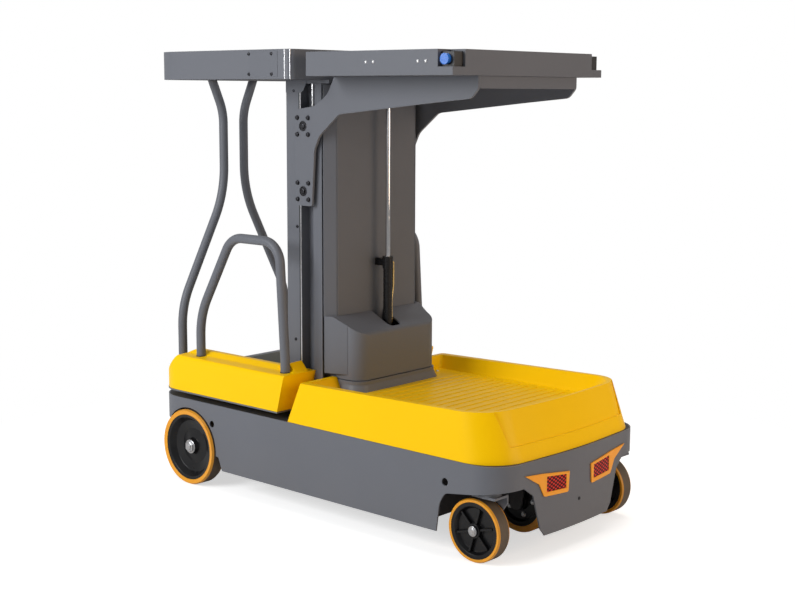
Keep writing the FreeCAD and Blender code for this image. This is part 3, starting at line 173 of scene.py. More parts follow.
# %% Finish, the base of every material
class Finish(Tree):
    """A material: Principled shader, soft edges, and helpers for what varies."""

    def __init__(self, name, color, roughness, edge, **fixed):
        self.material = bpy.data.materials.new(name)
        self.material.use_nodes = True
        super().__init__(self.material.node_tree)
        self.shader = self.nodes_of.nodes["Principled BSDF"]
        self.shader.inputs["Base Color"].default_value = (*color, 1.0)
        self.shader.inputs["Roughness"].default_value = roughness
        for socket, value in fixed.items():
            self.shader.inputs[socket.replace("_", " ")].default_value = value
        self.place = self.node("ShaderNodeTexCoord", output="Object")
        self.soft = self.node("ShaderNodeBevel", {"samples": 4}, {"Radius": edge})

    def noise(self, scale, detail=3.0, stretch=None):
        """Noise between about 0.3 and 0.7, at so many cells a metre."""
        place = self.place
        if stretch:
            place = self.node("ShaderNodeMapping", inputs={"Vector": place, "Scale": stretch})
        return self.node("ShaderNodeTexNoise", inputs={"Vector": place, "Scale": scale, "Detail": detail})

    def height(self):
        """Height above the floor of the piece at rest."""
        return self.parts(self.place)[2]

    def edges(self, strength):
        """1 at a worn edge, 0 on the flat."""
        flat = self.node("ShaderNodeNewGeometry", output="Normal")
        turn = self.node("ShaderNodeVectorMath", {"operation": "DOT_PRODUCT"},
                         {0: flat, 1: self.soft}, "Value")
        return ((1.0 - turn) * strength).clamped()

    def mixed(self, factor, first, second):
        """Two colours mixed by a factor."""
        first, second = [color if isinstance(color, Socket) else (*color, 1.0) for color in (first, second)]
        return self.node("ShaderNodeMix", {"data_type": "RGBA"}, {0: factor, 6: first, 7: second}, 2)

    def bumped(self, height, depth):
        """A bump of so many metres on top of the soft edges."""
        return self.node("ShaderNodeBump", inputs={"Height": height, "Distance": depth, "Normal": self.soft})

    def wear(self, color, roughness, normal):
        """Connect what varies to the shader; None leaves an input as it is."""
        for socket, value in (("Base Color", color), ("Roughness", roughness), ("Normal", normal)):
            self.feed(self.shader.inputs[socket], value)
        return self


def shade(color, factor):
    """A colour made lighter or darker."""
    return tuple(min(1.0, channel * factor) for channel in color)


print("a mid grey made lighter:", shade((0.5, 0.5, 0.5), 1.2))

# %% [markdown]
# The steel is powder coated in a bluish grey. Powder melts into a skin with a fine orange peel,
# it clouds a little over large sheets, dust settles low down, and its edges rub lighter.

# %% Powder coat
PEEL, PEEL_DEPTH = 650.0, 0.00012
DUST, DUST_TOP = (0.22, 0.20, 0.18), 0.22


def powder_coat(name, color, roughness=0.42):
    """Painted steel."""
    made = Finish(name, color, roughness, edge=0.0018, Specular_IOR_Level=0.24)
    cloud = made.noise(2.5)
    dust = (DUST_TOP - made.height()).clamped() * made.noise(14.0)
    base = made.mixed(cloud, shade(color, 0.93), shade(color, 1.07))
    base = made.mixed(dust * 1.2, base, DUST)
    base = made.mixed(made.edges(2.2), base, shade(color, 1.7))
    rough = roughness + (made.noise(60.0) - 0.5) * 0.16
    return made.wear(base, rough, made.bumped(made.noise(PEEL, 2.0), PEEL_DEPTH))


GREY = (0.135, 0.142, 0.163)
grey_paint = powder_coat("grey_powder_coat", GREY)
dark_paint = powder_coat("dark_chassis_paint", (0.035, 0.036, 0.040), 0.5)
black_paint = powder_coat("black_cylinder_paint", (0.012, 0.012, 0.013), 0.28)
print("painted steel:", grey_paint.material.name, dark_paint.material.name, black_paint.material.name)

# %% [markdown]
# The covers, the load deck and the buttons are moulded plastic. Its colour goes all the way
# through, so it wears only a little lighter at the edges. The mould leaves a very fine grain, and
# how deep it is makes a surface matt or nearly glossy.

# %% Moulded plastic
GRAIN = 1100.0


def moulding(name, color, roughness, grain_depth, **fixed):
    """Moulded plastic with a grain of so many metres."""
    made = Finish(name, color, roughness, edge=0.0025, **fixed)
    base = made.mixed(made.noise(3.0), shade(color, 0.965), shade(color, 1.03))
    base = made.mixed(made.edges(0.8), base, shade(color, 1.25))
    rough = roughness + (made.noise(35.0) - 0.5) * 0.12
    return made.wear(base, rough, made.bumped(made.noise(GRAIN, 2.0), grain_depth))


YELLOW = (1.0, 0.58, 0.0)
grey_moulding = moulding("grey_moulding", GREY, 0.46, 0.00006, Specular_IOR_Level=0.3)
yellow_moulding = moulding("yellow_moulding", YELLOW, 0.34, 0.00002, Specular_IOR_Level=0.12)
lamp_orange = moulding("orange_lamp_frame", (0.95, 0.36, 0.0), 0.35, 0.00003)
black_plastic = moulding("black_plastic", (0.018, 0.018, 0.019), 0.42, 0.00005)
battery_case = moulding("battery_case", (0.03, 0.03, 0.033), 0.6, 0.00008)
blue_plastic = moulding("blue_plastic", (0.02, 0.16, 0.62), 0.25, 0.00001, Coat_Weight=0.4)
stop_red = moulding("stop_red_plastic", (0.55, 0.012, 0.010), 0.28, 0.00001, Coat_Weight=0.3)
dark_glass = moulding("dark_glass", (0.010, 0.014, 0.018), 0.08, 0.0, Coat_Weight=0.5)
print("finishes so far:", len(bpy.data.materials))

# %% [markdown]
# Metals show the light by their polish. The drawn aluminium of the mast stages has long faint
# lines along its length, so its noise is stretched along Z. The rod is hard chrome, the pipe is
# bright brass, and the rollers are turned steel.

# %% Metals
TOOL_LINES = 240.0


def metal(name, color, roughness, stretch, depth):
    """Bare metal with the lines that its tool left."""
    made = Finish(name, color, roughness, edge=0.001, Metallic=1.0)
    lines = made.noise(TOOL_LINES, 4.0, stretch)
    base = made.mixed(lines, shade(color, 0.82), shade(color, 1.1))
    return made.wear(base, roughness + (lines - 0.5) * 0.25, made.bumped(lines, depth))


aluminium = metal("drawn_aluminium", (0.60, 0.61, 0.62), 0.34, (1.0, 1.0, 0.02), 0.00004)
chrome = metal("hard_chrome", (0.82, 0.82, 0.84), 0.10, (1.0, 1.0, 0.3), 0.000005)
brass = metal("bright_brass", (0.80, 0.56, 0.22), 0.22, (1.0, 1.0, 0.2), 0.00001)
turned_steel = metal("turned_steel", (0.46, 0.46, 0.47), 0.32, (1.0, 6.0, 1.0), 0.00003)
zinc_screw = metal("zinc_screw", (0.70, 0.70, 0.72), 0.30, (1.0, 1.0, 1.0), 0.00002)
black_screw = metal("black_screw", (0.045, 0.045, 0.05), 0.38, (1.0, 1.0, 1.0), 0.00002)
print("finishes with the metals:", len(bpy.data.materials))

# %% [markdown]
# The treads are cast polyurethane, bright amber on the side of the wheel. The running face is
# painted dark brown with lighter streaks: this is painted shade, for the shadow that the running
# face sits in. The two are told apart by how far the surface faces along the axle. The wheel
# centres are black moulded nylon, and the standing mat is ribbed rubber.

# %% Treads, wheel centres and rubber
SHADE_STARTS = 0.50


def tread(name, color, painted_shade):
    """A cast tread, amber at its sides, with painted shade where it runs."""
    made = Finish(name, color, 0.38, edge=0.002, Subsurface_Weight=0.05, Subsurface_Scale=0.01)
    facing = made.node("ShaderNodeTexCoord", output="Normal")
    sideways_on = made.maths("ABSOLUTE", made.parts(facing)[1])
    # Painted shade: the running face is mixed towards a dark brown, lighter in streaks.
    running = ((SHADE_STARTS - sideways_on) * 3.0).clamped()
    scuff = made.noise(22.0, 6.0)
    streaks = made.noise(30.0, 4.0, (1.0, 9.0, 1.0))
    side = made.mixed(scuff, shade(color, 0.88), shade(color, 1.08))
    face = made.mixed(streaks, painted_shade, shade(painted_shade, 2.2))
    base = made.mixed(running, side, face)
    rough = 0.30 + scuff * 0.15 + running * 0.25
    return made.wear(base, rough, made.bumped(made.noise(260.0, 4.0), 0.0001))


# The third colour is the painted shade of the running face.
amber_tread = tread("amber_polyurethane", (0.82, 0.34, 0.01), (0.060, 0.042, 0.026))
wheel_black = moulding("black_wheel_centre", (0.006, 0.006, 0.007), 0.30, 0.00005, Specular_IOR_Level=0.3)
floor_rubber = moulding("ribbed_rubber", (0.120, 0.125, 0.115), 0.7, 0.00015)
print("finishes with the wheels:", len(bpy.data.materials))

# %% [markdown]
# A lamp's lens is red plastic over rows of small cube corners, which throw light back where it
# came from. That light is painted into the colour here, as painted reflection in dark and light
# diamonds. Two slanted waves that rise and fall in a straight line are multiplied here, which
# leaves one painted glint in each diamond.

# %% Lenses
FACET = 0.0190
FACET_SLANT = 1.6
# The two colours of the painted reflection in the lens: its dark and its bright diamonds.
LENS_DARK, LENS_BRIGHT = (0.025, 0.001, 0.001), (0.85, 0.035, 0.02)
red_lens = Finish("red_lens", (0.50, 0.01, 0.01), 0.30, edge=0.0004, Specular_IOR_Level=0.15)
lens_across, lens_up = red_lens.parts(red_lens.place)[1:]
one_wave = red_lens.maths("PINGPONG", (lens_across + lens_up * FACET_SLANT) / FACET, 0.5)
other_wave = red_lens.maths("PINGPONG", (lens_across - lens_up * FACET_SLANT) / FACET, 0.5)
diamond = one_wave * other_wave * 4.0
speck = (red_lens.noise(420.0, 2.0) - 0.45) * 3.0
# Painted reflection: where this is high the base colour turns bright red, as a painted glint.
painted_lens_glint = (diamond * 1.9 + speck * 0.45 - 0.25).clamped()
red_lens.wear(red_lens.mixed(painted_lens_glint, LENS_DARK, LENS_BRIGHT), None, red_lens.bumped(diamond, 0.0006))
print("finishes in all:", len(bpy.data.materials))

# %% [markdown]
# A CAD piece whose shape is right keeps its mesh and only gets its finish. The table follows the
# record's material slots, so a piece that is added to the model later is dressed as well.

# %% Dress every CAD piece
FINISH_OF_SLOT = {
    "grey_paint": grey_paint,
    "grey_moulding": grey_moulding,
    "dark_frame": dark_paint,
    "yellow_moulding": yellow_moulding,
    "lamp_yellow": lamp_orange,
    "red_lens": red_lens,
    "battery_case": battery_case,
    "mast_aluminium": aluminium,
    "orange_tread": amber_tread,
    "black_wheel": wheel_black,
    "black_steel": black_paint,
    "chrome_rod": chrome,
    "brass_pipe": brass,
    "floor_rubber": floor_rubber,
    "black_plastic": black_plastic,
    "blue_plastic": blue_plastic,
    "roller_steel": turned_steel,
}
slot_of = {part["node"]: part["material_slot"] for part in frame["record"]["subparts"]}
for name, thing in nodes.items():
    finish = FINISH_OF_SLOT[slot_of[name]].material
    if not thing.data.materials:
        thing.data.materials.append(finish)
    for slot in thing.material_slots:
        slot.material = finish
print("dressed", len(nodes), "pieces")

# %% [markdown]
# Nearly every small piece is a row of loops, one after the other, joined by faces and closed at
# both ends. A bolt is a row of rings, a plate is two outlines, and an edging follows a path. Many
# sit on both sides of the truck, so a mirror can add the other side in the same mesh. A mirrored
# shape is inside out, which is why the normals are worked out again at the end.

# %% Solids through loops of points
def solids(name, lofts, mirror=False):
    """One mesh of closed solids, each through its own loops; a mirror adds the other side."""
    shape = bmesh.new()
    if mirror:
        lofts = lofts + [[[(x, -y, z) for x, y, z in loop] for loop in loops] for loops in lofts]
    for loops in lofts:
        rows = [[shape.verts.new(point) for point in loop] for loop in loops]
        for lower, upper in zip(rows, rows[1:]):
            for step in range(len(lower)):
                after = (step + 1) % len(lower)
                shape.faces.new((lower[step], lower[after], upper[after], upper[step]))
        shape.faces.new(list(reversed(rows[0])))
        shape.faces.new(rows[-1])
    bmesh.ops.recalc_face_normals(shape, faces=shape.faces)
    mesh = bpy.data.meshes.new(name)
    shape.to_mesh(mesh)
    shape.free()
    return mesh


def upright(outline, low, high):
    """Two loops of one (x, y) outline, one above the other."""
    return [[(x, y, z) for x, y in outline] for z in (low, high)]


def sideways(outline, near, far):
    """Two loops of one (x, z) outline, at two places across the truck."""
    return [[(x, y, z) for x, z in outline] for y in (near, far)]


def block(low, high, chamfer=0.0):
    """The loops of a box, whose upper edges can be cut back by a chamfer."""
    levels = [(0.0, low[2]), (0.0, high[2] - chamfer)] + ([(chamfer, high[2])] if chamfer else [])
    loops = []
    for inset, z in levels:
        left, right_end = low[0] + inset, high[0] - inset
        near, far = low[1] + inset, high[1] - inset
        loops.append([(left, near, z), (right_end, near, z), (right_end, far, z), (left, far, z)])
    return loops


print("a block has", len(block((0, 0, 0), (1, 1, 1))), "loops, and 3 with a chamfer")

# %% [markdown]
# Bolts, screws, nuts and rivets are turned or pressed parts, so each is built as a stack of
# rings, one above the other. A ring is round or six-sided, and all have the same number of
# points, so that neighbours join without a gap. A socket is a ring that goes back down inside.

# %% Small parts from stacked rings
MM = 0.001
RING_POINTS = 24


def ring_reach(radius, sides, angle):
    """How far a ring reaches in one direction; sides 0 is a circle."""
    if not sides:
        return radius
    step = 2 * math.pi / sides
    return radius / math.cos((angle + step / 2) % step - step / 2)


def stacked(name, rings, points=RING_POINTS):
    """A solid along Z through rings in mm: (radius, height), and 6 after them for a hexagon."""
    angles = [2 * math.pi * step / points for step in range(points)]
    loops = []
    for radius, height, *sides in rings:
        reaches = [ring_reach(radius * MM, sides[0] if sides else 0, angle) for angle in angles]
        loops.append([(reach * math.cos(angle), reach * math.sin(angle), height * MM)
                      for reach, angle in zip(reaches, angles)])
    return solids(name, [loops])


socket_screw = stacked("socket_screw", [
    (5.5, -0.5), (5.5, 1.0), (4.3, 2.9), (3.0, 3.2), (2.2, 3.2, 6), (2.2, 1.0, 6),
])
hex_bolt = stacked("hex_bolt", [(8.0, -0.5), (8.0, 0.9), (6.2, 0.9, 6), (6.2, 5.2, 6), (4.6, 6.2)])
dome_rivet = stacked("dome_rivet", [(5.0, -0.5), (5.0, 0.5), (4.2, 1.8), (2.4, 2.7), (0.6, 3.0)])
roller_cap = stacked("roller_cap", [
    (16.5, -0.5), (16.5, 1.6), (15.5, 2.4), (12.5, 2.4), (12.0, 0.6), (8.0, 0.6, 6), (8.0, 4.6, 6),
    (6.2, 5.4),
])
axle_nut = stacked("axle_nut", [
    (25.0, -0.5), (25.0, 2.0), (23.5, 3.0), (18.0, 3.0, 6), (18.0, 8.0, 6), (15.5, 9.5), (11.5, 9.5),
    (11.0, 11.5),
])
print("small parts:", [mesh.name for mesh in (socket_screw, hex_bolt, dome_rivet, roller_cap, axle_nut)])

# %% [markdown]
# Whatever is added has to move with the right joint, so each piece is put in the scene by one
# function, which gives it a finish and the body that it rides on.

# %% Pieces that ride on a body
def standing(name, mesh, body, finish):
    """A mesh put in the scene as a piece that rides on a body."""
    if not mesh.materials:
        mesh.materials.append(finish.material)
    thing = bpy.data.objects.new(name, mesh)
    bpy.context.scene.collection.objects.link(thing)
    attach(thing, body)
    return thing


def fitted(name, body, lofts, finish, mirror=False):
    """Solids through loops, put on a body as one piece."""
    return standing(name, solids(name, lofts, mirror), body, finish)


# %% [markdown]
# On the real truck screws come from a box of a hundred, and a drawing says where they go.
# Geometry Nodes does the same here. A mesh of bare points holds the places, with the direction
# that each part faces and how far it is stretched. The tree sets a copy on every point, turns
# it, makes the copies real and gives them their finish. One mesh is made for each body, so that
# it moves with its joint.

# %% Repeats by Geometry Nodes
GIVEN = {"Points": "NodeSocketGeometry", "Part": "NodeSocketObject", "Finish": "NodeSocketMaterial"}


def repeat_tree(pivot):
    """A tree that sets one part on every point and turns its Z to the point's direction."""
    group = bpy.data.node_groups.new("repeated_parts_" + pivot.lower(), "GeometryNodeTree")
    for name, kind in GIVEN.items():
        group.interface.new_socket(name, in_out="INPUT", socket_type=kind)
    group.interface.new_socket("Result", in_out="OUTPUT", socket_type="NodeSocketGeometry")
    tree = Tree(group)
    points, part, finish = [tree.node("NodeGroupInput", output=name) for name in GIVEN]
    facing, stretch = [
        tree.node("GeometryNodeInputNamedAttribute", {"data_type": "FLOAT_VECTOR"}, {"Name": name})
        for name in ("facing", "stretch")
    ]
    turn = tree.node("FunctionNodeAlignRotationToVector", {"axis": "Z", "pivot_axis": pivot},
                     {"Vector": facing})
    model = tree.node("GeometryNodeObjectInfo", inputs={"Object": part}, output="Geometry")
    copies = tree.node("GeometryNodeInstanceOnPoints", inputs={
        "Points": points, "Instance": model, "Rotation": turn, "Scale": stretch,
    })
    real = tree.node("GeometryNodeRealizeInstances", inputs={"Geometry": copies})
    dressed = tree.node("GeometryNodeSetMaterial", inputs={"Geometry": real, "Material": finish})
    tree.node("NodeGroupOutput", inputs={"Result": dressed})
    return group


REPEAT = {pivot: repeat_tree(pivot) for pivot in ("AUTO", "Y")}
print("nodes in each tree:", [len(group.nodes) for group in REPEAT.values()])

# %% [markdown]
# The tree reads its places from a mesh of points that lives only as long as it takes to make the
# copies. What comes out is an ordinary mesh, without the two vectors that steered it.

# %% Repeated pieces
def vectors(mesh, name, values):
    """A vector kept on every point of a mesh."""
    kept = mesh.attributes.new(name, "FLOAT_VECTOR", "POINT")
    kept.data.foreach_set("vector", [number for value in values for number in value])


def repeated(name, body, part, finish, places, pivot="AUTO"):
    """One mesh of copies of a part, at places of (point, direction) or (point, direction, stretch)."""
    points = bpy.data.meshes.new(name + "_points")
    points.from_pydata([place[0] for place in places], [], [])
    vectors(points, "facing", [place[1] for place in places])
    vectors(points, "stretch", [place[2] if len(place) > 2 else (1, 1, 1) for place in places])
    carrier = bpy.data.objects.new(name + "_points", points)
    model = bpy.data.objects.new(name + "_part", part)
    for thing in (carrier, model):
        bpy.context.scene.collection.objects.link(thing)
    modifier = carrier.modifiers.new("repeat", "NODES")
    modifier.node_group = REPEAT[pivot]
    keys = {item.name: item.identifier for item in REPEAT[pivot].interface.items_tree}
    modifier[keys["Part"]] = model
    modifier[keys["Finish"]] = finish.material
    view = bpy.context.evaluated_depsgraph_get()
    made = bpy.data.meshes.new_from_object(carrier.evaluated_get(view))
    made.name = name
    for kept in list(made.attributes):
        if kept.name in ("facing", "stretch"):
            made.attributes.remove(kept)
    for thing in (carrier, model):
        bpy.data.objects.remove(thing)
    return standing(name, made, body, finish)


SIDES = (-1, 1)
UPWARD, FORWARD, BACKWARD = (0, 0, 1), (1, 0, 0), (-1, 0, 0)


def both_sides(pairs, y):
    """Places at (x, z) on the right-hand and the left-hand side, facing away from the middle."""
    return [((x, side * y, z), (0, side, 0)) for x, z in pairs for side in SIDES]


def corners(middle, half_length, half_height):
    """The four (x, z) places round a middle."""
    return [(middle[0] + end * half_length, middle[1] + rise * half_height)
            for end in SIDES for rise in SIDES]


print("a pair of screws stands at", [place[0] for place in both_sides([(0.0, 1.0)], 0.23)])

# %% [markdown]
# Two cover plates sit on the ring's sides, each on four screws. More screws hold the mast rails,
# the sides of the front panel and the back panel. On the back they are 30 cm apart, which keeps
# long thin sheet from drumming when the platform stops.

# %% Cover plates and screws of the mast
PLATE = 1.2 * MM
PLATE_MIDDLE = (-0.212, 1.461)
RING_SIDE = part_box("guard_ring")[1][1]
RAIL_SIDE, PANEL_SIDE, BACK_FACE = 0.230, 0.194, -0.249
plate = solids("ring_plate", [block((-0.058, -0.041, -PLATE), (0.080, 0.041, PLATE), 0.6 * MM)])
repeated("ring_side_plates", "lift_carriage", plate, grey_paint,
         both_sides([PLATE_MIDDLE], RING_SIDE))
repeated("ring_plate_screws", "lift_carriage", socket_screw, black_screw,
         both_sides(corners(PLATE_MIDDLE, 0.053, 0.032), RING_SIDE + PLATE))
rail_places = both_sides([(-0.212, 1.377), (-0.200, 0.930), (-0.211, 0.548), (-0.191, 1.313)], RAIL_SIDE)
rail_places += both_sides([(-0.095, 0.969), (-0.101, 0.607)], PANEL_SIDE)
rail_places += [((BACK_FACE, side * 0.165, z), BACKWARD) for side in SIDES for z in (0.45, 0.75, 1.05, 1.35)]
repeated("rail_screws", "lift_carriage", socket_screw, black_screw, rail_places)
print("screws on the mast:", len(rail_places))

# %% [markdown]
# The tray's rim is riveted to a stiffener inside it, and each arm carries its two rollers on
# capped pins, with four bolts round each. A nut closes every axle end. The casters have smaller
# ones, so the same nut is stretched to less than its size.

# %% Roller caps, rivets and nuts
ARM_FACE, TRAY_SIDE, RIM_HEIGHT = 0.249, 0.375, 1.462
ROLLER_PINS = [(-0.152, 1.263), (-0.152, 1.051)]
REAR_AXLE, REAR_NUT_FACE = (-0.599, 0.134), 0.3765
CASTER_X, CASTER_Z, CASTER_NUT_FACE = 0.662, 0.097, 0.3572
SMALL_NUT = (0.62, 0.62, 0.45)
DECK_FLOOR = 0.395
repeated("roller_caps", "tray_carriage", roller_cap, black_screw,
         both_sides(ROLLER_PINS, ARM_FACE))
pin_bolts = [place for pin in ROLLER_PINS for place in corners(pin, 0.025, 0.027)]
repeated("roller_bolts", "tray_carriage", hex_bolt, black_screw,
         both_sides(pin_bolts, ARM_FACE))
repeated("tray_rivets", "tray_carriage", dome_rivet, zinc_screw,
         both_sides([(x, RIM_HEIGHT) for x in (0.248, 0.278, 0.454, 0.484)], TRAY_SIDE))
repeated("rear_axle_nuts", "root", axle_nut, turned_steel,
         both_sides([REAR_AXLE], REAR_NUT_FACE))
for name, side in (("right", -1), ("left", 1)):
    repeated("caster_nut_" + name, "caster_" + name, axle_nut, turned_steel,
             [((CASTER_X, side * CASTER_NUT_FACE, CASTER_Z), (0, side, 0), SMALL_NUT)])
repeated("deck_screws", "root", socket_screw, zinc_screw,
         [((0.006, side * 0.254, DECK_FLOOR), UPWARD) for side in SIDES])
repeated("nose_screw", "root", socket_screw, black_screw,
         [((0.7925, 0.0, 0.146), FORWARD)])
print("bolts round the roller pins:", 2 * len(pin_bolts))

# %% [markdown]
# A moulded wheel is stiffened by ribs between its hub and its rim, because solid nylon would
# shrink and crack as it cools. Both faces of the casters have six. The drive wheel's steel
# centre is bolted on with five bolts instead.

# %% Ribs and bolts of the wheels
RIB_COUNT, RIB_START = 6, 0.26
BOLT_COUNT, BOLT_CIRCLE, BOLT_SUNK = 5, 0.049, 0.014


def middle_of(name):
    """The middle of the box round a CAD piece."""
    return tuple((low + high) / 2 for low, high in zip(*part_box(name)))


rib = solids("wheel_rib", [block((-0.0032, -0.0228, 0.022), (0.0032, 0.0228, 0.0685))])
turns = [2 * math.pi * step / RIB_COUNT + RIB_START for step in range(RIB_COUNT)]
for side in ("right", "left"):
    hub = middle_of("caster_hub_" + side)
    repeated("caster_ribs_" + side, "caster_wheel_" + side, rib, wheel_black,
             [(hub, (math.cos(turn), 0, math.sin(turn))) for turn in turns], "Y")
drive_x, _, drive_z = middle_of("drive_hub")
bolt_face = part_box("drive_hub")[1][1] - BOLT_SUNK
bolt_turns = [2 * math.pi * step / BOLT_COUNT for step in range(BOLT_COUNT)]
bolts = [(drive_x + BOLT_CIRCLE * math.cos(turn), drive_z + BOLT_CIRCLE * math.sin(turn))
         for turn in bolt_turns]
repeated("drive_wheel_bolts", "drive_wheel", hex_bolt, turned_steel,
         both_sides(bolts, bolt_face))
print("drive wheel bolts:", 2 * len(bolts))

# %% [markdown]
# Boots slip on smooth plastic, so the load floor carries broad flat ribs across it, and the
# standing mat has narrow ones. Both run across the truck, the way a foot would slide when it
# starts or stops.

# %% Ribs of the load floor and the mat
DECK_PITCH, DECK_START, DECK_ROWS = 0.0365, 0.094, 15
LAST_RIB, LAST_STRETCH = 0.6415, (1, 0.88, 1)
MAT_PITCH, MAT_START, MAT_END, MAT_EDGE = 0.0155, 0.018, 0.012, 0.012
deck_rib = solids("deck_rib", [block((-0.0105, -0.272, -0.0005), (0.0105, 0.272, 0.0022), 0.0018)])
deck_places = [((DECK_START + DECK_PITCH * row, 0.0, DECK_FLOOR), UPWARD) for row in range(DECK_ROWS)]
deck_places += [((LAST_RIB, 0.0, DECK_FLOOR), UPWARD, LAST_STRETCH)]
repeated("load_floor_ribs", "root", deck_rib, yellow_moulding, deck_places)
mat_low, mat_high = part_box("platform_mat")
mat_rib = solids("mat_rib", [block((-0.0035, mat_low[1] + MAT_EDGE, -0.0005),
                                   (0.0035, mat_high[1] - MAT_EDGE, 0.0024), 0.0012)])
rows = int((mat_high[0] - mat_low[0] - MAT_START - MAT_END) / MAT_PITCH)
repeated("mat_ribs", "lift_carriage", mat_rib, floor_rubber,
         [((mat_low[0] + MAT_START + MAT_PITCH * row, 0.0, mat_high[2]), UPWARD) for row in range(rows)])
print("ribs on the deck and the mat:", len(deck_places), rows)

# %% [markdown]
# The front panel of the mast is folded outwards to meet the rails, and the foot cover widens in
# the same way, so that no finger fits between them. Along each roller slot a thin black strip is
# painted shade, for the dark line of a groove, and a bright zinc strip beside it is a painted
# highlight, for the light on the slot's rounded edge. At the top a plate ties each rail to the
# ring, and a short guide rod stands in front of the slot. Two thin bright rods at each front
# corner of the ring are painted highlights, for the light on the ring's rounded corner.

# %% Trim of the mast
HOOD_FOOT, HOOD_TOP, PANEL_TOP = 0.449, 0.640, 1.398
SLOT_REAR, SLOT_FOOT, SLOT_HEAD = -0.180, 0.460, 1.371
TIE_TOP = 1.4125
wings = upright([(-0.080, -0.2285), (-0.052, -0.1945), (-0.080, -0.1945)], HOOD_TOP, PANEL_TOP)
fitted("mast_panel_wings", "lift_carriage", [wings], grey_paint, mirror=True)
hood_wing = [
    [(x, outer, HOOD_FOOT), (x, outer, top), (x, -0.1998, top), (x, -0.1998, HOOD_FOOT)]
    for x, outer, top in ((-0.080, -0.2265, HOOD_TOP), (-0.050, -0.2170, HOOD_TOP), (0.003, -0.2004, 0.613))
]
fitted("foot_cover_wings", "lift_carriage", [hood_wing], grey_moulding, mirror=True)
# Painted shade: a black strip for the dark line of a groove beside each slot.
groove_shade_strip = block((SLOT_REAR - 0.0105, -0.2306, SLOT_FOOT), (SLOT_REAR - 0.0050, -0.2290, SLOT_HEAD))
fitted("slot_seals", "lift_carriage", [groove_shade_strip], black_plastic, mirror=True)
# Painted highlight: a bright zinc strip for the light on the slot's rounded edge.
strip = block((SLOT_REAR - 0.0050, -0.2310, SLOT_FOOT), (SLOT_REAR - 0.0012, -0.2290, SLOT_HEAD))
fitted("slot_wear_strips", "lift_carriage", [strip], zinc_screw, mirror=True)
tie = sideways([(BACK_FACE, SLOT_HEAD), (-0.178, SLOT_HEAD), (-0.167, 1.378), (-0.158, 1.394),
                (-0.150, TIE_TOP), (BACK_FACE, TIE_TOP)], -0.2318, -0.2301)
fitted("head_tie_plates", "lift_carriage", [tie], grey_paint, mirror=True)
guide_rod = stacked("guide_rod", [(3.4, 0.0), (3.4, 72.0)], 16)
repeated("guide_rods", "lift_carriage", guide_rod, chrome,
         [((-0.121, side * 0.2338, 1.327), UPWARD) for side in SIDES])
# Painted highlight: thin bright rods at the ring's front corners, for the light on its rounded corner.
corner_highlight_rod = stacked("ring_corner_highlight_rod", [(2.3, 0.0), (2.3, 92.5)], 12)
corner_highlight_places = [((x, side * y, 1.4138), UPWARD)
               for x, y in ((-0.0995, 0.3778), (-0.0815, 0.3714)) for side in SIDES]
repeated("ring_corner_beads", "lift_carriage", corner_highlight_rod, zinc_screw, corner_highlight_places)
# The strips measured here are the painted shade and the painted highlight along the slots.
print("wear strips are", round(SLOT_HEAD - SLOT_FOOT, 3), "m long")

# %% [markdown]
# The yellow covers are moulded in one piece with an upstand beside the mast, which stiffens the
# free end. A grey edging closes their lower edge, and a rubber collar seals each tube of the
# hoops where it dips into the cover.

# %% Trim of the side covers
COVER_FACE, COVER_REAR, COVER_FRONT, COVER_ROUND = 0.378, 0.772, 0.150, 0.096
EDGING_LOW, EDGING_HIGH, EDGING_PROUD, EDGING_DEPTH = 0.3252, 0.3298, 0.0016, 0.005
ARC_STEPS = 12
COVER_TOP, UPSTAND_OUTER = 0.4500, -0.320
path = [(-COVER_FRONT, -0.282, 1, 0), (-COVER_FRONT, -COVER_FACE, 1, -1)]
for step in range(ARC_STEPS + 1):
    turn = math.pi / 2 * step / ARC_STEPS
    out_x, out_y = -math.sin(turn), -math.cos(turn)
    path.append((COVER_ROUND * (1 + out_x) - COVER_REAR, COVER_ROUND * (1 + out_y) - COVER_FACE,
                 out_x, out_y))
rim = [(EDGING_PROUD, EDGING_LOW), (EDGING_PROUD, EDGING_HIGH), (-EDGING_DEPTH, EDGING_HIGH),
       (-EDGING_DEPTH, EDGING_LOW)]
edging = [[(x + out_x * out, y + out_y * out, z) for out, z in rim] for x, y, out_x, out_y in path]
fitted("side_cover_edging", "lift_carriage", [edging], grey_paint, mirror=True)
upstand = [
    [(x, UPSTAND_OUTER, COVER_TOP), (x, UPSTAND_OUTER, top), (x, *shoulder), (x, *foot),
     (x, foot[0], COVER_TOP)]
    for x, top, shoulder, foot in (
        (-0.122, 0.4545, (-0.262, 0.4545), (-0.248, 0.4545)),
        (-0.149, 0.4850, (-0.265, 0.4880), (-0.248, 0.4560)),
        (-0.205, 0.4705, (-0.283, 0.4700), (-0.279, 0.4560)),
    )
]
fitted("side_cover_upstands", "lift_carriage", [upstand], yellow_moulding, mirror=True)
collar = stacked("hoop_collar", [(17.5, -1.0), (17.5, 1.6), (15.0, 3.6)])
repeated("hoop_collars", "lift_carriage", collar, black_plastic,
         [((x, side * 0.336, 0.4562), UPWARD) for x in (-0.580, -0.153) for side in SIDES])
print("edging points:", len(path) * len(rim))

# %% [markdown]
# The operator stands behind the console and works it with one hand on the small wheel. A key
# switch, a stop button that the palm can strike, two round buttons, a travel knob and a blank
# display are laid out on its top, all lower than the ring, so that a load can't hit them.

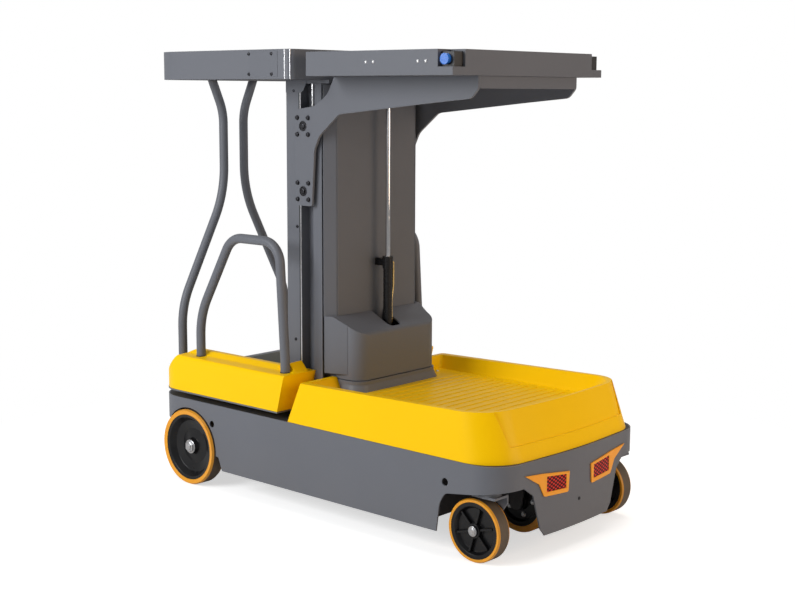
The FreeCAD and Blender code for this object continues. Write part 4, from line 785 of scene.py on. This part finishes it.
# %% Controls on the console
TABLE = 1.474
STOP_PLACE, KNOB_PLACE, KEY_PLACE = (-0.195, -0.270), (-0.195, -0.190), (-0.160, -0.232)
BUTTON_PLACES = [(-0.215, -0.118), (-0.175, -0.118)]
housing = block((-0.232, -0.072, TABLE - 0.002), (-0.150, 0.052, TABLE + 0.006))
fitted("display_housing", "lift_carriage", [housing], black_plastic)
glass = block((-0.226, -0.064, TABLE + 0.005), (-0.158, 0.044, TABLE + 0.0068))
fitted("display_glass", "lift_carriage", [glass], dark_glass)
for name, rings, finish, slot, places in (
    ("stop_button_base", [(24, -1), (24, 4), (21, 6)], yellow_moulding, "yellow_moulding", [STOP_PLACE]),
    ("stop_button_head", [(10, 5), (10, 13), (17, 16), (19, 21), (17, 26), (11, 29), (3, 30)],
     stop_red, "red_lens", [STOP_PLACE]),
    ("travel_control", [(20, -1), (20, 4), (12, 7), (9, 14), (13, 21), (14, 26), (9, 30)],
     black_plastic, "black_plastic", [KNOB_PLACE]),
    ("push_buttons", [(11, -1), (11, 3), (9, 4), (8, 4), (8, 6), (6.5, 7.5)],
     black_plastic, "black_plastic", BUTTON_PLACES),
    ("key_switch", [(11, -1), (11, 2.5), (8, 5), (3.4, 5), (3.0, 3)], zinc_screw, "chrome_rod", [KEY_PLACE]),
):
    repeated(name, "lift_carriage", stacked(name + "_part", rings), finish,
             [((x, y, TABLE), UPWARD) for x, y in places])

# %% [markdown]
# The charger and the pump are reached from the rear of the chassis. A flat panel with a screw in
# each corner and one in the middle of each long edge closes that opening, and a small hinged
# flap covers the charging socket.

# %% Rear service panel
REAR_WALL, PANEL_THICK = -0.787, 0.0022
panel = block((REAR_WALL - PANEL_THICK, -0.230, 0.110), (REAR_WALL + 0.001, 0.230, 0.262))
fitted("service_panel", "root", [panel], grey_paint)
flap = block((REAR_WALL - 0.0070, 0.095, 0.176), (REAR_WALL - 0.0015, 0.175, 0.232))
fitted("charging_flap", "root", [flap], black_plastic)
hinge = block((REAR_WALL - 0.0085, 0.105, 0.230), (REAR_WALL - 0.0015, 0.165, 0.238))
fitted("flap_hinge", "root", [hinge], black_screw)
panel_places = [((REAR_WALL - PANEL_THICK, y, z), BACKWARD)
                for y in (-0.215, 0.0, 0.215) for z in (0.124, 0.248)]
repeated("service_panel_screws", "root", socket_screw, black_screw, panel_places)
print("screws on the rear panel:", len(panel_places))

# %% [markdown]
# Light comes as in a small studio: a large soft box on the near side gives the side faces their
# bright tone, a warmer and weaker one in front lets the front faces fall off, and one overhead
# picks out the tops.

# %% Lamps
def soft_box(name, place, target, width, power, color):
    """A square area lamp that faces a target."""
    lamp = bpy.data.lights.new(name, "AREA")
    lamp.size = width
    lamp.energy = power
    lamp.color = color
    thing = bpy.data.objects.new(name, lamp)
    bpy.context.scene.collection.objects.link(thing)
    away = Vector(place) - Vector(target)
    thing.location = place
    thing.rotation_euler = away.to_track_quat("Z", "Y").to_euler()


MIDDLE = (0.0, 0.0, 0.75)
soft_box("near_side_lamp", (-1.4, -4.3, 2.5), MIDDLE, 2.4, 166, (0.98, 0.99, 1.0))
soft_box("front_lamp", (4.4, 1.3, 1.7), MIDDLE, 2.2, 66, (1.0, 0.76, 0.55))
soft_box("top_lamp", (0.3, 0.4, 4.2), MIDDLE, 2.6, 74, (1.0, 0.97, 0.93))
print("lamps:", [lamp.name for lamp in bpy.data.lights])

# %% [markdown]
# The world is plain white to the camera, like a cut-out picture. As light it is much weaker, so
# it only fills the shadows. Mirrored rays get a little more, which keeps bright metal from
# turning black.

# %% World
FILL, MIRRORED_FILL = 0.24, 0.2
world = bpy.data.worlds.new("studio")
bpy.context.scene.world = world
world.use_nodes = True
sky = Tree(world.node_tree)
seen, mirrored, through = [
    sky.node("ShaderNodeLightPath", output=ray)
    for ray in ("Is Camera Ray", "Is Glossy Ray", "Is Transmission Ray")
]
straight = (seen + through).clamped()
background = world.node_tree.nodes["Background"]
background.inputs["Color"].default_value = (1.0, 1.0, 1.0, 1.0)
sky.feed(background.inputs["Strength"], FILL + straight * (1.0 - FILL) + mirrored * MIRRORED_FILL)
print("world fill", FILL)

# %% [markdown]
# The floor is a wide pale disc. Close to the truck it is an ordinary matt surface that holds the
# shadow, with a glow of its own that the camera sees and the truck doesn't. Further out it turns
# into plain white, by its distance from the middle, so that no horizon line shows.

# %% Floor
FLOOR_RADIUS, FLOOR_CORNERS, FLOOR_PALE = 30.0, 96, 0.86
FLOOR_LIFT = 0.60
FADE_START, FADE_WIDTH = 0.7, 1.2
disc = bmesh.new()
bmesh.ops.create_circle(disc, cap_ends=True, radius=FLOOR_RADIUS, segments=FLOOR_CORNERS)
floor_mesh = bpy.data.meshes.new("floor")
disc.to_mesh(floor_mesh)
disc.free()
floor = bpy.data.objects.new("floor", floor_mesh)
bpy.context.scene.collection.objects.link(floor)

floor_look = bpy.data.materials.new("pale_floor")
floor_look.use_nodes = True
ground = Tree(floor_look.node_tree)
matt = floor_look.node_tree.nodes["Principled BSDF"]
matt.inputs["Base Color"].default_value = (FLOOR_PALE, FLOOR_PALE, FLOOR_PALE, 1.0)
matt.inputs["Roughness"].default_value = 0.8
matt.inputs["Emission Strength"].default_value = FLOOR_LIFT
where = ground.node("ShaderNodeTexCoord", output="Object")
distance = ground.node("ShaderNodeVectorMath", {"operation": "LENGTH"}, {0: where}, "Value")
far_off = ((distance - FADE_START) / FADE_WIDTH).clamped()
seen = ground.node("ShaderNodeLightPath", output="Is Camera Ray")
glow = ground.node("ShaderNodeCombineXYZ", inputs={0: seen, 1: seen, 2: seen})
ground.feed(matt.inputs["Emission Color"], glow)
white = ground.node("ShaderNodeEmission", inputs={"Strength": 1.0})
faded = ground.node("ShaderNodeMixShader",
                    inputs={0: far_off * seen, 1: Socket(ground, matt.outputs[0]), 2: white})
ground.feed(floor_look.node_tree.nodes["Material Output"].inputs["Surface"], faded)
floor_mesh.materials.append(floor_look)
print("floor radius", FLOOR_RADIUS, "fades from", FADE_START, "m")
